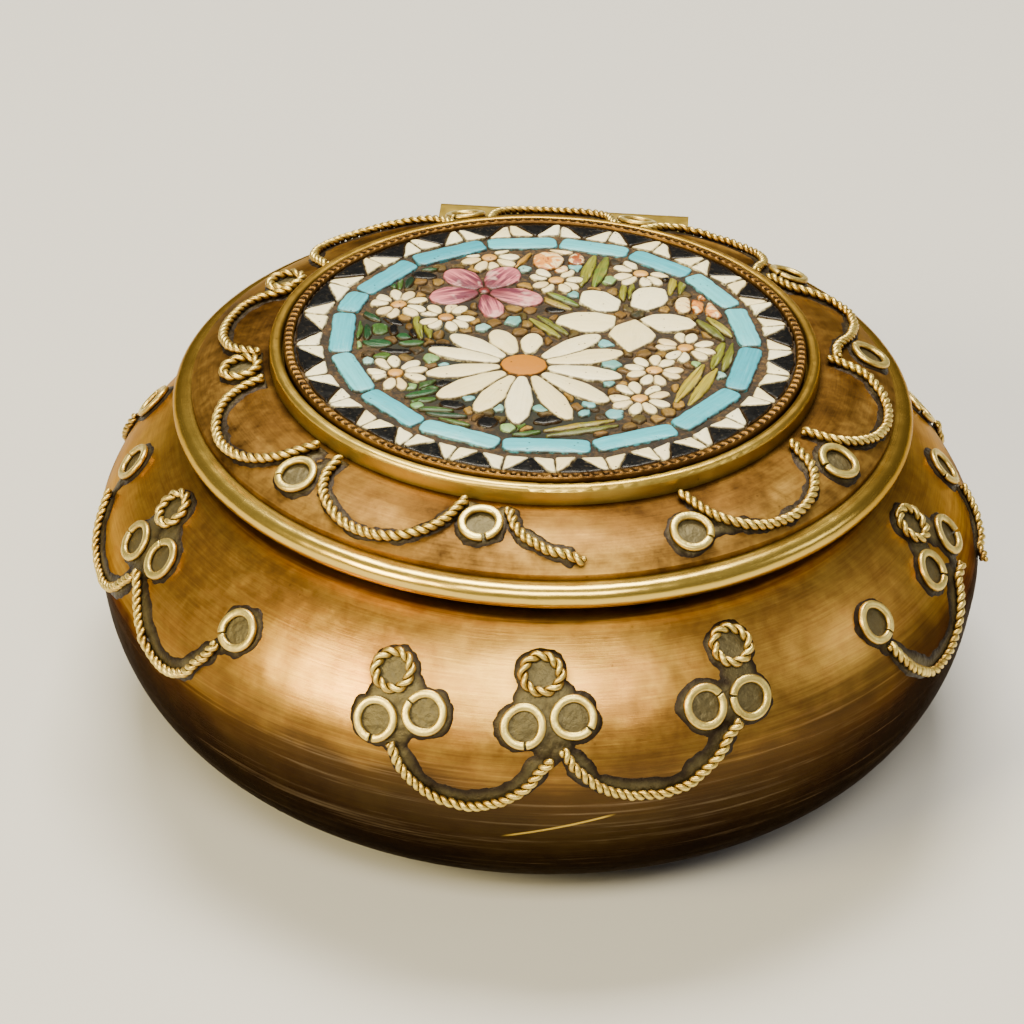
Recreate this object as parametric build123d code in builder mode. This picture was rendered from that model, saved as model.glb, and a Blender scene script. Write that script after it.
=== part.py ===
from build123d import *
from math import atan2, cos, degrees, hypot, pi, radians, sin
import os

os.makedirs("parts", exist_ok=True)

# A small round gilt-brass pill box. Millimetres, +Z up, z = 0 is the face it rests on,
# the Z axis is the axis of the round body, the hinge is at the back (+Y).
# Angles round the box are degrees from the front (-Y), positive towards +X.

# ---------------------------------------------------------------- driving dimensions
bulge_radius = 22.5        # widest point of the body
bulge_height = 10.1        # height of the widest point
foot_radius = 11.9         # flat the box rests on
mouth_radius = 16.9        # round opening of the body
lower_power = 2.4          # roundness of the body below the bulge
upper_power = 1.5          # roundness of the body above the bulge
shoulder_radius = 15.3     # where the upper curve would close if it ran on past the mouth
shoulder_height = 16.7
sheet = 0.6                # spun brass of the body

collar_wall = 0.5
collar_bottom = 14.6
collar_top = 18.0

lid_sheet = 0.5
lid_seat_height = 19.45    # flat panel that the mosaic tray is soldered to
lid_seat_radius = 14.0
lid_crown_radius = 16.3    # a point half way down the lid's curved border
lid_crown_height = 18.95
lid_edge_radius = 17.6
lid_edge_height = 18.15
lid_bottom = 16.7
rim_radius = 18.55         # outside of the half-round rim strip
rim_height = 1.15

hinge_y = 19.45
hinge_z = 16.75
hinge_length = 13.7
knuckle_radius = 0.8
centre_knuckle = 2.9       # the body's knuckle, between the lid's two
knuckle_gap = 0.08
pin_radius = 0.35
pin_fit = 0.01             # radial slack in the lid's knuckles
pin_clearance = 0.05       # radial clearance in the body's knuckle, which turns on the pin
leaf_thickness = 0.4

ring_radius = 0.88         # soldered wire rings, to the middle of the wire
ring_wire = 0.215          # wire radius
twisted_ring_radius = 0.86
twisted_ring_wire = 0.25
rope_radius = 0.27         # twisted-wire rope of the scrolls
solder_sink = 0.04         # how far a soldered wire sinks into the solder film

tray_radius = 13.7
tray_wall = 0.6
tray_floor = 0.35
tray_height = 0.95
strip_outer = 13.0         # milled strip that holds the mosaic
strip_inner = 12.5
strip_top = 20.55
bed_thickness = 0.25
tessera_height = 0.4
cement_gap = 0.1

# ---------------------------------------------------------------- shapes used more than once


def bowl_radius(height):
    """Outside radius of the body at a height."""
    if height <= bulge_height:
        drop = 1 - height / bulge_height
        return foot_radius + (bulge_radius - foot_radius) * (1 - drop**lower_power) ** (1 / lower_power)
    rise = (height - bulge_height) / (shoulder_height - bulge_height)
    fullness = (1 - rise**upper_power) ** (1 / upper_power)
    return shoulder_radius + (bulge_radius - shoulder_radius) * fullness


def mouth_height_at(radius):
    """Height at which the body's upper curve reaches a radius."""
    fullness = (radius - shoulder_radius) / (bulge_radius - shoulder_radius)
    rise = (1 - fullness**upper_power) ** (1 / upper_power)
    return bulge_height + (shoulder_height - bulge_height) * rise


def bowl_slope(height):
    """Unit outward normal of the body's outline at a height, as (radial, vertical)."""
    step = 0.02
    rise = 2 * step
    run = bowl_radius(height + step) - bowl_radius(height - step)
    return rise / hypot(rise, run), -run / hypot(rise, run)


def bowl_curve(inset):
    """Points up the body's outline, moved in from the outside surface."""
    lower = [bulge_height * (1 - cos(radians(a))) for a in range(9, 91, 9)]
    top = mouth_height_at(mouth_radius - 0.3)
    upper = [bulge_height + (top - bulge_height) * k / 10 for k in range(1, 11)]
    points = []
    for height in lower + upper:
        radial, vertical = bowl_slope(height)
        points.append((bowl_radius(height) - inset * radial, height - inset * vertical))
    return points


def lid_height(radius):
    """Height of the lid's curved border at a radius, on its three-point arc."""
    return lid_arc_z + (lid_arc_radius**2 - (radius - lid_arc_r) ** 2) ** 0.5


def circle_through(first, second, third):
    """Centre and radius of the circle through three points."""
    (ax, ay), (bx, by), (cx, cy) = first, second, third
    scale = 2 * (ax * (by - cy) + bx * (cy - ay) + cx * (ay - by))
    a2, b2, c2 = ax**2 + ay**2, bx**2 + by**2, cx**2 + cy**2
    x = (a2 * (by - cy) + b2 * (cy - ay) + c2 * (ay - by)) / scale
    y = (a2 * (cx - bx) + b2 * (ax - cx) + c2 * (bx - ax)) / scale
    return x, y, hypot(ax - x, ay - y)


lid_arc_r, lid_arc_z, lid_arc_radius = circle_through(
    (lid_seat_radius, lid_seat_height),
    (lid_crown_radius, lid_crown_height),
    (lid_edge_radius, lid_edge_height),
)


def polar(radius, angle):
    """Plan position at a radius and an angle from the front."""
    return radius * sin(radians(angle)), -radius * cos(radians(angle))


def body_seat(angle, height, lift):
    """Point a given distance off the body's surface, and the surface normal there."""
    radial, vertical = bowl_slope(height)
    x, y = polar(bowl_radius(height) + lift * radial, angle)
    nx, ny = polar(radial, angle)
    return Vector(x, y, height + lift * vertical), Vector(nx, ny, vertical)


def lid_seat(angle, radius, lift):
    """Point a given distance off the lid's curved border, and the surface normal there."""
    radial = (radius - lid_arc_r) / lid_arc_radius
    vertical = (lid_height(radius) - lid_arc_z) / lid_arc_radius
    x, y = polar(radius + lift * radial, angle)
    nx, ny = polar(radial, angle)
    return Vector(x, y, lid_height(radius) + lift * vertical), Vector(nx, ny, vertical)


def tangent_plane(point, normal):
    """Plane on a surface: its local x runs round the box, its local y up the surface."""
    sideways = Vector(-normal.Y, normal.X, 0)
    return Plane(origin=point, x_dir=sideways, z_dir=normal)


def soldered_rings(seats, mean_radius, wire_radius):
    """Round wire rings lying on the planes in seats."""
    with BuildPart() as rings:
        for seat in seats:
            with Locations(seat):
                Torus(mean_radius, wire_radius)
    return rings.part


def soldered_rope(points):
    """Round rope of constant section through a row of points."""
    with BuildPart() as rope:
        with BuildLine() as path:
            Spline(*points)
        with BuildSketch(Plane(origin=path.line @ 0, z_dir=path.line % 0)):
            Circle(rope_radius)
        sweep(path=path.line)
    return rope.part


def half_ellipse(start, end, bow):
    """Rows of (along, across) on a half ellipse that bows out between two ends."""
    rows = []
    for step in range(0, 13):
        turn = pi * step / 12
        share = (1 - cos(turn)) / 2
        along = start[0] + (end[0] - start[0]) * share
        across = start[1] + (end[1] - start[1]) * share + bow * sin(turn)
        rows.append((along, across))
    return rows


# ---------------------------------------------------------------- body

outside = [(foot_radius, 0)] + bowl_curve(0)
inside = [(foot_radius, sheet)] + bowl_curve(sheet)

with BuildPart() as body_bowl:
    with BuildSketch(Plane.XZ):
        with BuildLine():
            Line((0, 0), (foot_radius, 0))
            Spline(*outside)
            Line(outside[-1], inside[-1])
            Spline(*inside)
            Line(inside[0], (0, sheet))
            Line((0, sheet), (0, 0))
        make_face()
    revolve(axis=Axis.Z)
    with BuildSketch(Plane.XY.offset(bulge_height)):
        Circle(mouth_radius)
    extrude(amount=shoulder_height, mode=Mode.SUBTRACT)
body_bowl.part.label = "body_bowl"

with BuildPart() as mouth_collar:
    with BuildSketch(Plane.XY.offset(collar_bottom)):
        Circle(mouth_radius)
        Circle(mouth_radius - collar_wall, mode=Mode.SUBTRACT)
    extrude(amount=collar_top - collar_bottom)
    fillet(mouth_collar.edges().group_by(Axis.Z)[-1], 0.15)
mouth_collar.part.label = "mouth_collar"

# ---------------------------------------------------------------- wirework soldered to the body


def even_group(angle, height):
    """Three-ring group that stands upright: the twisted ring on top of two plain ones."""
    return (angle, height + 1.15), (angle - 3.15, height - 0.6), (angle + 3.15, height - 0.6)


# Three-ring groups on the body: (angle, height) of the twisted ring and of the two plain ones.
# They were soldered by hand, so each sits a little differently.
body_groups = [
    ((-15.9, 13.75), (-16.7, 11.9), (-10.8, 12.5)),
    ((3.5, 14.2), (1.4, 12.4), (7.5, 12.75)),
    ((29.8, 14.45), (24.2, 12.65), (30.3, 12.6)),
    ((71.7, 14.65), (68.4, 13.1), (77.4, 13.2)),
    ((-63.7, 14.65), (-65.3, 12.85), (-58.2, 13.3)),
    even_group(-119.5, 13.5),
    even_group(130.5, 13.5),
]

# Single plain rings that end a scroll: (angle, height).
body_end_rings = [(52.8, 13.2), (92.4, 13.75), (-39.1, 13.1), (-82.0, 13.6),
                  (-98.9, 13.6), (-140.1, 13.5), (110.0, 13.5), (151.0, 13.5)]

# Scrolls of rope that hang between a group and its neighbour: (angle, height) along each.
body_scrolls = [
    [(-14.0, 10.85), (-12.7, 10.15), (-9.7, 9.05), (-5.6, 8.55), (-1.9, 8.8), (1.7, 9.7), (4.1, 11.0)],
    [(6.6, 11.3), (8.1, 10.6), (11.0, 9.75), (15.2, 9.2), (19.0, 9.25), (22.8, 9.95), (25.8, 10.95), (27.2, 11.7)],
    [(53.6, 11.95), (54.8, 11.2), (57.6, 10.25), (62.9, 9.5), (66.9, 10.0), (70.6, 11.05), (73.9, 12.2)],
    [(92.2, 12.3), (91.2, 11.5), (88.6, 10.9), (84.5, 10.7)],
    [(-41.4, 12.05), (-42.8, 11.15), (-45.4, 10.2), (-49.5, 9.75), (-53.2, 10.1), (-56.2, 10.9), (-59.9, 12.1)],
    [(-62.0, 11.75), (-64.3, 10.7), (-70.8, 9.95), (-75.4, 10.4), (-79.0, 11.3), (-80.4, 11.95)],
    half_ellipse((-100.4, 12.0), (-118.4, 11.6), -2.6),
    half_ellipse((-120.7, 11.6), (-138.6, 11.9), -2.6),
    half_ellipse((111.5, 11.9), (129.3, 11.6), -2.6),
    half_ellipse((131.7, 11.6), (149.5, 11.9), -2.6),
]

plain_lift = ring_wire - solder_sink
twisted_lift = twisted_ring_wire - solder_sink
rope_lift = rope_radius - solder_sink

plain_seats = body_end_rings + [seat for _, left, right in body_groups for seat in (left, right)]
body_plain_rings = soldered_rings(
    [tangent_plane(*body_seat(angle, height, plain_lift)) for angle, height in plain_seats],
    ring_radius, ring_wire)
body_plain_rings.label = "body_plain_rings"

body_twisted_rings = soldered_rings(
    [tangent_plane(*body_seat(angle, height, twisted_lift)) for (angle, height), _, _ in body_groups],
    twisted_ring_radius, twisted_ring_wire)
body_twisted_rings.label = "body_twisted_rings"

scroll_solids = []
for rows in body_scrolls:
    scroll_solids += soldered_rope([body_seat(angle, height, rope_lift)[0] for angle, height in rows]).solids()
body_scroll_wires = Compound(label="body_scroll_wires", children=scroll_solids)

# ---------------------------------------------------------------- lid

with BuildPart() as lid_shell:
    with BuildSketch(Plane.XZ):
        inner_edge = lid_edge_radius - lid_sheet
        inner_corner = lid_height(inner_edge) - lid_sheet * 1.12
        with BuildLine():
            Line((0, lid_seat_height), (lid_seat_radius, lid_seat_height))
            ThreePointArc(
                (lid_seat_radius, lid_seat_height),
                (lid_crown_radius, lid_crown_height),
                (lid_edge_radius, lid_edge_height),
            )
            Line((lid_edge_radius, lid_edge_height), (lid_edge_radius, lid_bottom))
            Line((lid_edge_radius, lid_bottom), (inner_edge, lid_bottom))
            Line((inner_edge, lid_bottom), (inner_edge, inner_corner))
            ThreePointArc(
                (inner_edge, inner_corner),
                (lid_crown_radius - 0.35, lid_height(lid_crown_radius - 0.35) - lid_sheet * 1.03),
                (lid_seat_radius, lid_seat_height - lid_sheet),
            )
            Line((lid_seat_radius, lid_seat_height - lid_sheet), (0, lid_seat_height - lid_sheet))
            Line((0, lid_seat_height - lid_sheet), (0, lid_seat_height))
        make_face()
    revolve(axis=Axis.Z)
lid_shell.part.label = "lid_shell"

with BuildPart() as lid_rim:
    with BuildSketch(Plane.XZ):
        top_of_rim = lid_bottom + rim_height
        with BuildLine():
            Line((lid_edge_radius, lid_bottom), (lid_edge_radius, top_of_rim))
            Line((lid_edge_radius, top_of_rim), (rim_radius - rim_height / 2, top_of_rim))
            ThreePointArc(
                (rim_radius - rim_height / 2, top_of_rim),
                (rim_radius, lid_bottom + rim_height / 2),
                (rim_radius - rim_height / 2, lid_bottom),
            )
            Line((rim_radius - rim_height / 2, lid_bottom), (lid_edge_radius, lid_bottom))
        make_face()
    revolve(axis=Axis.Z)
lid_rim.part.label = "lid_rim"

# ---------------------------------------------------------------- hinge

side_knuckle = (hinge_length - centre_knuckle) / 2 - knuckle_gap
side_knuckle_start = centre_knuckle / 2 + knuckle_gap

with BuildPart() as lid_knuckles:
    with BuildSketch(Plane.YZ.offset(side_knuckle_start)):
        with Locations((hinge_y, hinge_z)):
            Circle(knuckle_radius)
        with Locations((hinge_y - 1.1, hinge_z + knuckle_radius - leaf_thickness / 2)):
            Rectangle(2.2, leaf_thickness)
        with Locations((hinge_y, hinge_z)):
            Circle(pin_radius + pin_fit, mode=Mode.SUBTRACT)
    extrude(amount=side_knuckle)
    mirror(about=Plane.YZ)
    with Locations((0, 0, hinge_z)):
        Cylinder(rim_radius, 6, mode=Mode.SUBTRACT)
lid_knuckles.part.label = "lid_knuckles"

with BuildPart() as hinge_pin:
    with BuildSketch(Plane.YZ.offset(-hinge_length / 2)):
        with Locations((hinge_y, hinge_z)):
            Circle(pin_radius)
    extrude(amount=hinge_length)
    chamfer(hinge_pin.edges(), 0.08)
hinge_pin.part.label = "hinge_pin"

pad_low = 12.7
pad_high = 15.0
pad_thickness = 0.45
pad_sweep = 13.0
web_thickness = 0.5

with BuildPart() as body_leaf:
    with BuildSketch(Plane.YZ.offset(-centre_knuckle / 2)):
        with Locations((hinge_y, hinge_z)):
            Circle(knuckle_radius)
        with Locations((hinge_y, (hinge_z + pad_low) / 2)):
            Rectangle(web_thickness, hinge_z - pad_low)
        with Locations((hinge_y, hinge_z)):
            Circle(pin_radius + pin_clearance, mode=Mode.SUBTRACT)
    extrude(amount=centre_knuckle)
    with BuildSketch(Plane.YZ.rotated((0, 0, -pad_sweep / 2))):
        heights = [pad_low + (pad_high - pad_low) * k / 4 for k in range(5)]
        slopes = [bowl_slope(h) for h in heights]
        near = [(bowl_radius(h) - 0.05, h) for h in heights]
        far = [(bowl_radius(h) + pad_thickness * s[0], h + pad_thickness * s[1]) for h, s in zip(heights, slopes)]
        with BuildLine():
            Spline(*near)
            Line(near[-1], far[-1])
            Spline(*far)
            Line(far[0], near[0])
        make_face()
    revolve(axis=Axis.Z, revolution_arc=pad_sweep)
    with BuildSketch(Plane.XZ):
        with BuildLine():
            Line((0, 0), (foot_radius, 0))
            Spline(*outside)
            Line(outside[-1], (0, outside[-1][1]))
            Line((0, outside[-1][1]), (0, 0))
        make_face()
    revolve(axis=Axis.Z, mode=Mode.SUBTRACT)
body_leaf.part.label = "body_hinge_leaf"

# ---------------------------------------------------------------- wirework soldered to the lid

scallop_foot = 14.5        # radius of a scallop's feet

# Scallops of rope: the angles of the two feet, and how far the loop bows out.
lid_scallops = [((-109.0, -84.8), 1.8), ((-73.0, -46.8), 2.7), ((-39.2, -12.2), 2.65), ((30.8, 58.4), 2.7),
                ((65.2, 93.4), 2.7), ((134.4, 161.5), 2.5), ((169.1, 194.5), 2.4), ((203.5, 235.5), 2.5)]

# One scallop is lopsided: (angle, radius) along it.
lopsided_scallop = [(96.2, 14.5), (100.9, 15.05), (104.5, 15.7), (108.5, 16.3), (115.3, 16.75),
                    (119.9, 16.2), (123.0, 15.2), (128.2, 14.5)]

lid_ropes = [half_ellipse((first, scallop_foot), (last, scallop_foot), bow) for (first, last), bow in lid_scallops]
lid_rope_solids = []
for rows in lid_ropes + [lopsided_scallop]:
    lid_rope_solids += soldered_rope([lid_seat(angle, radius, rope_lift)[0] for angle, radius in rows]).solids()
lid_scallop_wires = Compound(label="lid_scallop_wires", children=lid_rope_solids)

# What is left of the scallop at the front, which has lost most of its rope.
stub_rows = [(-2.6, 14.8), (-1.6, 15.5), (1.0, 16.2), (4.8, 16.7), (8.6, 16.9)]
broken_scallop = soldered_rope([lid_seat(angle, radius, rope_lift)[0] for angle, radius in stub_rows])
broken_scallop.label = "broken_scallop_wire"

# Rings between the scallops: (angle, radius).
lid_plain_seats = [(-7.5, 15.5), (27.9, 16.4), (62.3, 16.4), (99.8, 16.5), (130.9, 16.1),
                   (165.3, 16.0), (-43.0, 16.1), (-161.2, 16.0)]
lid_twisted_seats = [(-79.4, 15.1), (-114.6, 15.1)]
lid_plain_rings = soldered_rings(
    [tangent_plane(*lid_seat(angle, radius, plain_lift)) for angle, radius in lid_plain_seats],
    ring_radius, ring_wire)
lid_plain_rings.label = "lid_plain_rings"
lid_twisted_rings = soldered_rings(
    [tangent_plane(*lid_seat(angle, radius, twisted_lift)) for angle, radius in lid_twisted_seats],
    twisted_ring_radius, twisted_ring_wire)
lid_twisted_rings.label = "lid_twisted_rings"

# ---------------------------------------------------------------- mosaic tray

tray_floor_top = lid_seat_height + tray_floor

with BuildPart() as mosaic_tray:
    with BuildSketch(Plane.XY.offset(lid_seat_height)):
        Circle(tray_radius)
    extrude(amount=tray_height)
    with BuildSketch(Plane.XY.offset(tray_floor_top)):
        Circle(tray_radius - tray_wall)
    extrude(amount=tray_height, mode=Mode.SUBTRACT)
    fillet(mosaic_tray.edges().group_by(Axis.Z)[-1], 0.25)
mosaic_tray.part.label = "mosaic_tray"

with BuildPart() as milled_strip:
    with BuildSketch(Plane.XY.offset(tray_floor_top)):
        Circle(strip_outer)
        Circle(strip_inner, mode=Mode.SUBTRACT)
    extrude(amount=strip_top - tray_floor_top)
    chamfer(milled_strip.edges().group_by(Axis.Z)[-1], 0.12)
milled_strip.part.label = "milled_strip"

bed_top = tray_floor_top + bed_thickness

with BuildPart() as mosaic_bed:
    with BuildSketch(Plane.XY.offset(tray_floor_top)):
        Circle(strip_inner - 0.02)
    extrude(amount=bed_thickness)
mosaic_bed.part.label = "mosaic_bed"

# ---------------------------------------------------------------- mosaic: how tesserae are cut

smallest_tessera = 0.08    # square millimetres; anything less is filled with cement
laid = []                  # the outline of each piece laid so far, grown by its cement line


def apart(box, other):
    """True where two plan boxes don't meet."""
    across = box.min.X > other.max.X or box.max.X < other.min.X
    return across or box.min.Y > other.max.Y or box.max.Y < other.min.Y


def grown(corners, margin):
    """Corners of an outline moved out by a margin, with the sharp ones blunted."""
    area = sum(x0 * y1 - x1 * y0 for (x0, y0), (x1, y1) in zip(corners, corners[1:] + corners[:1]))
    order = corners if area > 0 else corners[::-1]
    moved = []
    for before, here, after in zip(order[-1:] + order[:-1], order, order[1:] + order[:1]):
        into = Vector(here[0] - before[0], here[1] - before[1]).normalized()
        out = Vector(after[0] - here[0], after[1] - here[1]).normalized()
        miter = Vector(into.Y + out.Y, -into.X - out.X)
        reach = margin / max(0.45, miter.length / 2)
        miter = miter.normalized()
        moved.append((here[0] + reach * miter.X, here[1] + reach * miter.Y))
    return moved


def lay(outlines):
    """Cut each outline back from what is laid already, lay what remains, and return it."""
    kept = []
    for corners in outlines:
        corners = list(corners)
        remains = Polygon(*corners, align=None).face()
        for box, taken in laid:
            if not apart(remains.bounding_box(), box):
                pieces = (remains - taken).faces()
                if not pieces:
                    remains = None
                    break
                remains = pieces.sort_by(SortBy.AREA)[-1]
        if remains is not None and remains.area > smallest_tessera:
            kept.append(remains)
            with_cement = Polygon(*grown(corners, cement_gap), align=None).face()
            laid.append((with_cement.bounding_box(), with_cement))
    return kept


def tesserae(faces, label):
    """Stand a group of faces on the cement as tesserae."""
    solids = []
    for face in faces:
        upward = face if face.normal_at().Z > 0 else -face
        solids.append(Solid.extrude(Pos(0, 0, bed_top) * upward, Vector(0, 0, tessera_height)))
    return Compound(label=label, children=solids)


def placed(corners, place, bearing):
    """Corners drawn round the origin, turned to a bearing from +X and moved to a place."""
    c, s = cos(radians(bearing)), sin(radians(bearing))
    return [(place[0] + x * c - y * s, place[1] + x * s + y * c) for x, y in corners]


def from_front(corners, angle):
    """Corners drawn along +Y from the middle, turned to an angle from the front of the box."""
    return placed(corners, (0, 0), angle + 180)


def petal(place, bearing, start, length, width):
    """Petal that leaves a flower's middle at a bearing, widest beyond half way."""
    reach = length - start
    side = [(start, 0.14 * width), (start + 0.22 * reach, 0.34 * width), (start + 0.55 * reach, 0.5 * width),
            (start + 0.84 * reach, 0.38 * width), (length, 0.13 * width)]
    return placed(side + [(x, -y) for x, y in reversed(side)], place, bearing)


def blade(start, end, width):
    """Lens-shaped sliver of glass between two points."""
    length = hypot(end[0] - start[0], end[1] - start[1])
    side = [(0.03 * length, 0.1 * width), (0.25 * length, 0.38 * width), (0.5 * length, 0.5 * width),
            (0.75 * length, 0.38 * width), (0.97 * length, 0.1 * width)]
    bearing = degrees(atan2(end[1] - start[1], end[0] - start[0]))
    return placed(side + [(x, -y) for x, y in reversed(side)], start, bearing)


def leaf(start, end, width):
    """Leaf of two slivers, with a cement line between them for its midrib."""
    length = hypot(end[0] - start[0], end[1] - start[1])
    across = ((start[1] - end[1]) / length, (end[0] - start[0]) / length)
    halves = []
    for side in (-1, 1):
        shift = side * (width + cement_gap) / 4
        low = (start[0] + shift * across[0], start[1] + shift * across[1])
        high = (end[0] + shift * across[0], end[1] + shift * across[1])
        halves.append(blade(low, high, width / 2))
    return halves


def chip(place, size):
    """Broken five-sided chip of glass; its corners follow from where it lies."""
    turn = 40 * place[0] + 70 * place[1]
    corners = []
    for corner in range(5):
        reach = size / 2 * (1 + 0.16 * sin(turn + 2.2 * corner))
        corners.append((reach * cos(radians(72 * corner + turn)), reach * sin(radians(72 * corner + turn))))
    return placed(corners, place, 0)


def oval(place, length, width, bearing):
    """Oval tessera, with twelve corners."""
    corners = [(length / 2 * cos(radians(a)), width / 2 * sin(radians(a))) for a in range(0, 360, 30)]
    return placed(corners, place, bearing)


# ---------------------------------------------------------------- mosaic: border

bar_middle = 10.2          # radius of the ring of turquoise bars
bar_width = 1.15
bar_corner = 0.3
bar_joint = 0.18
ring_offset = 0.15         # the ring of bars was laid a little towards the hinge

# Joints between the bars, as they were laid; the last space takes a short make-up bar.
bar_joints = (-99, -76, -54, -32, -8.5, 16, 41, 67, 92, 115, 137, 158, 179.5, 201, 225, 248.5, 261)

tooth_inner = 11.05
tooth_outer = 12.4

# Middles of the black wedges between the white teeth, as they were laid.
wedge_turns = (0, 11.5, 24, 36, 48, 61, 73, 86, 98, 109.5, 121, 134, 147, 160, 173, 186, 199, 212,
               225, 239, 255, 271, 286, 300, 312, 324, 336, 347.5)

with BuildPart() as turquoise_border:
    with BuildSketch(Plane.XY.offset(bed_top)):
        for start, end in zip(bar_joints, bar_joints[1:]):
            half_span = radians(end - start) / 2
            x, y = polar(bar_middle * cos(half_span) + 0.12, (start + end) / 2)
            with Locations(Location((x, y + ring_offset, 0), (0, 0, (start + end) / 2))):
                RectangleRounded(2 * bar_middle * sin(half_span) - bar_joint, bar_width, bar_corner)
    extrude(amount=tessera_height)
turquoise_border.part.label = "turquoise_border"


def sliver(side, half_base, skew):
    """White half of a border tooth, to one side of the tooth's middle."""
    tip = tooth_outer - 0.08 + 0.06 * skew
    return [(side * 0.06, tooth_inner + 0.12 + 0.1 * skew), (side * half_base, tooth_inner),
            (side * (0.34 + 0.06 * skew), tip - 0.1), (side * 0.06, tip)]


def wedge(half_outer):
    """Black wedge that fills the space between two teeth."""
    return [(-0.16, tooth_inner + 0.1), (-half_outer, tooth_outer - 0.14), (0, tooth_outer),
            (half_outer, tooth_outer - 0.14), (0.16, tooth_inner + 0.1)]


border_slivers = []
border_wedges = []
next_turns = wedge_turns[1:] + (wedge_turns[0] + 360,)
for before, after in zip(wedge_turns, next_turns):
    half_base = tooth_inner * sin(radians(after - before) / 2) - cement_gap
    border_slivers += lay([from_front(sliver(side, half_base, sin(5.1 * before + side)), (before + after) / 2)
                           for side in (-1, 1)])
for turn, after in zip(wedge_turns, next_turns):
    half_outer = tooth_outer * sin(radians(after - turn) / 2)
    border_wedges += lay([from_front(wedge(half_outer), turn)])

# ---------------------------------------------------------------- mosaic: flowers

longest_half_bar = 13.25   # degrees; a straight bar's middle lies nearer the centre than its ends
field_radius = bar_middle * cos(radians(longest_half_bar)) + 0.12 - bar_width / 2 - cement_gap
laid.clear()
with BuildSketch(mode=Mode.PRIVATE) as outside_field:
    Circle(tooth_outer)
    with Locations((0, ring_offset)):
        Circle(field_radius, mode=Mode.SUBTRACT)
laid.append((outside_field.sketch.bounding_box(), outside_field.sketch))

white_flower = lay((
    ((1.5, 4.1), (1.6, 5.2), (2.1, 5.4), (2.8, 5.3), (3.6, 4.5), (3.5, 3.5), (3.2, 3.35), (2.4, 3.3)),
    ((4.1, 4.0), (4.2, 5.5), (4.5, 6.0), (5.2, 6.2), (5.8, 6.0), (6.0, 4.9), (5.7, 4.2), (4.9, 3.6)),
    ((0.4, 1.9), (0.6, 2.6), (1.4, 3.1), (2.4, 3.2), (3.4, 2.9), (3.4, 2.0), (2.9, 1.3), (1.8, 1.1)),
    ((4.6, 2.7), (5.3, 3.3), (6.2, 3.4), (7.1, 3.1), (7.5, 2.5), (7.2, 2.0), (6.4, 1.7), (5.6, 1.6)),
    ((3.1, 1.0), (3.4, 1.9), (4.4, 2.7), (5.1, 1.9), (5.5, 1.2), (5.3, 0.6), (4.8, 0.0), (4.2, -0.7)),
))

# Petals of the big daisy: bearing, length, width.
daisy_middle = (-0.9, -2.5)
daisy_petal_sizes = ((84, 3.2, 1.15), (43, 4.9, 1.25), (20, 5.1, 1.4), (-8, 4.9, 1.3), (-36, 5.3, 1.35),
                     (-63, 5.5, 1.3), (-90, 5.6, 1.35), (-113, 5.1, 1.25), (-138, 5.3, 1.45),
                     (-164, 4.9, 1.25), (168, 4.9, 1.1), (146, 4.6, 1.3), (117, 3.7, 1.35))
daisy_centre = lay([oval(daisy_middle, 2.3, 2.0, 0)])
daisy_petals = lay([petal(daisy_middle, bearing, 1.2, length, width)
                    for bearing, length, width in daisy_petal_sizes])

pink_middle = (-3.4, 4.8)
pink_petal_sizes = ((136, 2.8, 1.8), (62, 2.9, 1.8), (-14, 3.1, 1.8), (-74, 2.8, 1.3), (203, 2.9, 1.85))
pink_flower_centre = lay([oval(pink_middle, 0.6, 0.6, 0)])
pink_flower_petals = lay([petal(pink_middle, bearing, 0.35, length, width)
                          for bearing, length, width in pink_petal_sizes])

# Two roses, each of a few curled lumps, with a pale petal beside one of them.
rose_petals = lay((
    ((-1.1, 8.1), (-0.9, 7.6), (-0.3, 7.4), (0.3, 7.8), (0.5, 8.6), (0.1, 9.2), (-0.6, 9.3), (-1.1, 8.8)),
    ((-0.9, 9.55), (-0.2, 9.5), (0.5, 9.1), (1.0, 9.5), (0.6, 9.75), (-0.4, 9.8)),
    ((0.75, 9.0), (1.15, 9.4), (1.5, 8.9), (1.5, 8.2), (1.0, 8.1), (0.7, 8.4)),
    ((0.45, 8.0), (0.7, 7.9), (0.75, 7.4), (0.3, 7.1), (0.0, 7.3)),
    ((7.4, 5.3), (7.7, 5.8), (8.2, 5.9), (8.8, 5.3), (9.1, 4.8), (8.5, 4.9), (8.0, 5.1)),
    ((7.2, 5.1), (7.8, 4.8), (7.75, 3.8), (7.4, 3.6), (7.2, 4.3)),
    ((8.0, 4.8), (8.6, 4.7), (9.2, 4.4), (9.2, 3.8), (8.9, 3.4), (8.2, 3.3), (7.9, 3.8)),
    oval((6.8, 4.4), 0.9, 1.7, 0),
))

# Small daisies: place, reach of the petals, turn.
small_daisies = (((-3.4, 8.35), 1.55, 10), ((4.5, 7.55), 1.5, 0), ((-7.6, 2.9), 1.5, 25), ((-5.1, 1.85), 1.45, 5),
                 ((-7.1, -3.95), 1.6, 15), ((7.0, 0.1), 1.5, 30), ((5.5, -2.3), 1.45, 10), ((4.9, -5.1), 1.55, 20),
                 ((0.2, 6.3), 1.4, 12))
small_petals = 9
small_daisy_centres = lay([oval(place, 0.85, 0.7, turn) for place, reach, turn in small_daisies])
small_daisy_petals = []
for place, reach, turn in small_daisies:
    bearings = [turn + 360 / small_petals * k + 6 * sin(3 * k + turn) for k in range(small_petals)]
    small_daisy_petals += lay([petal(place, bearing, 0.5, reach, 0.6) for bearing in bearings])

# ---------------------------------------------------------------- mosaic: leaves, grass and filling

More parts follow.
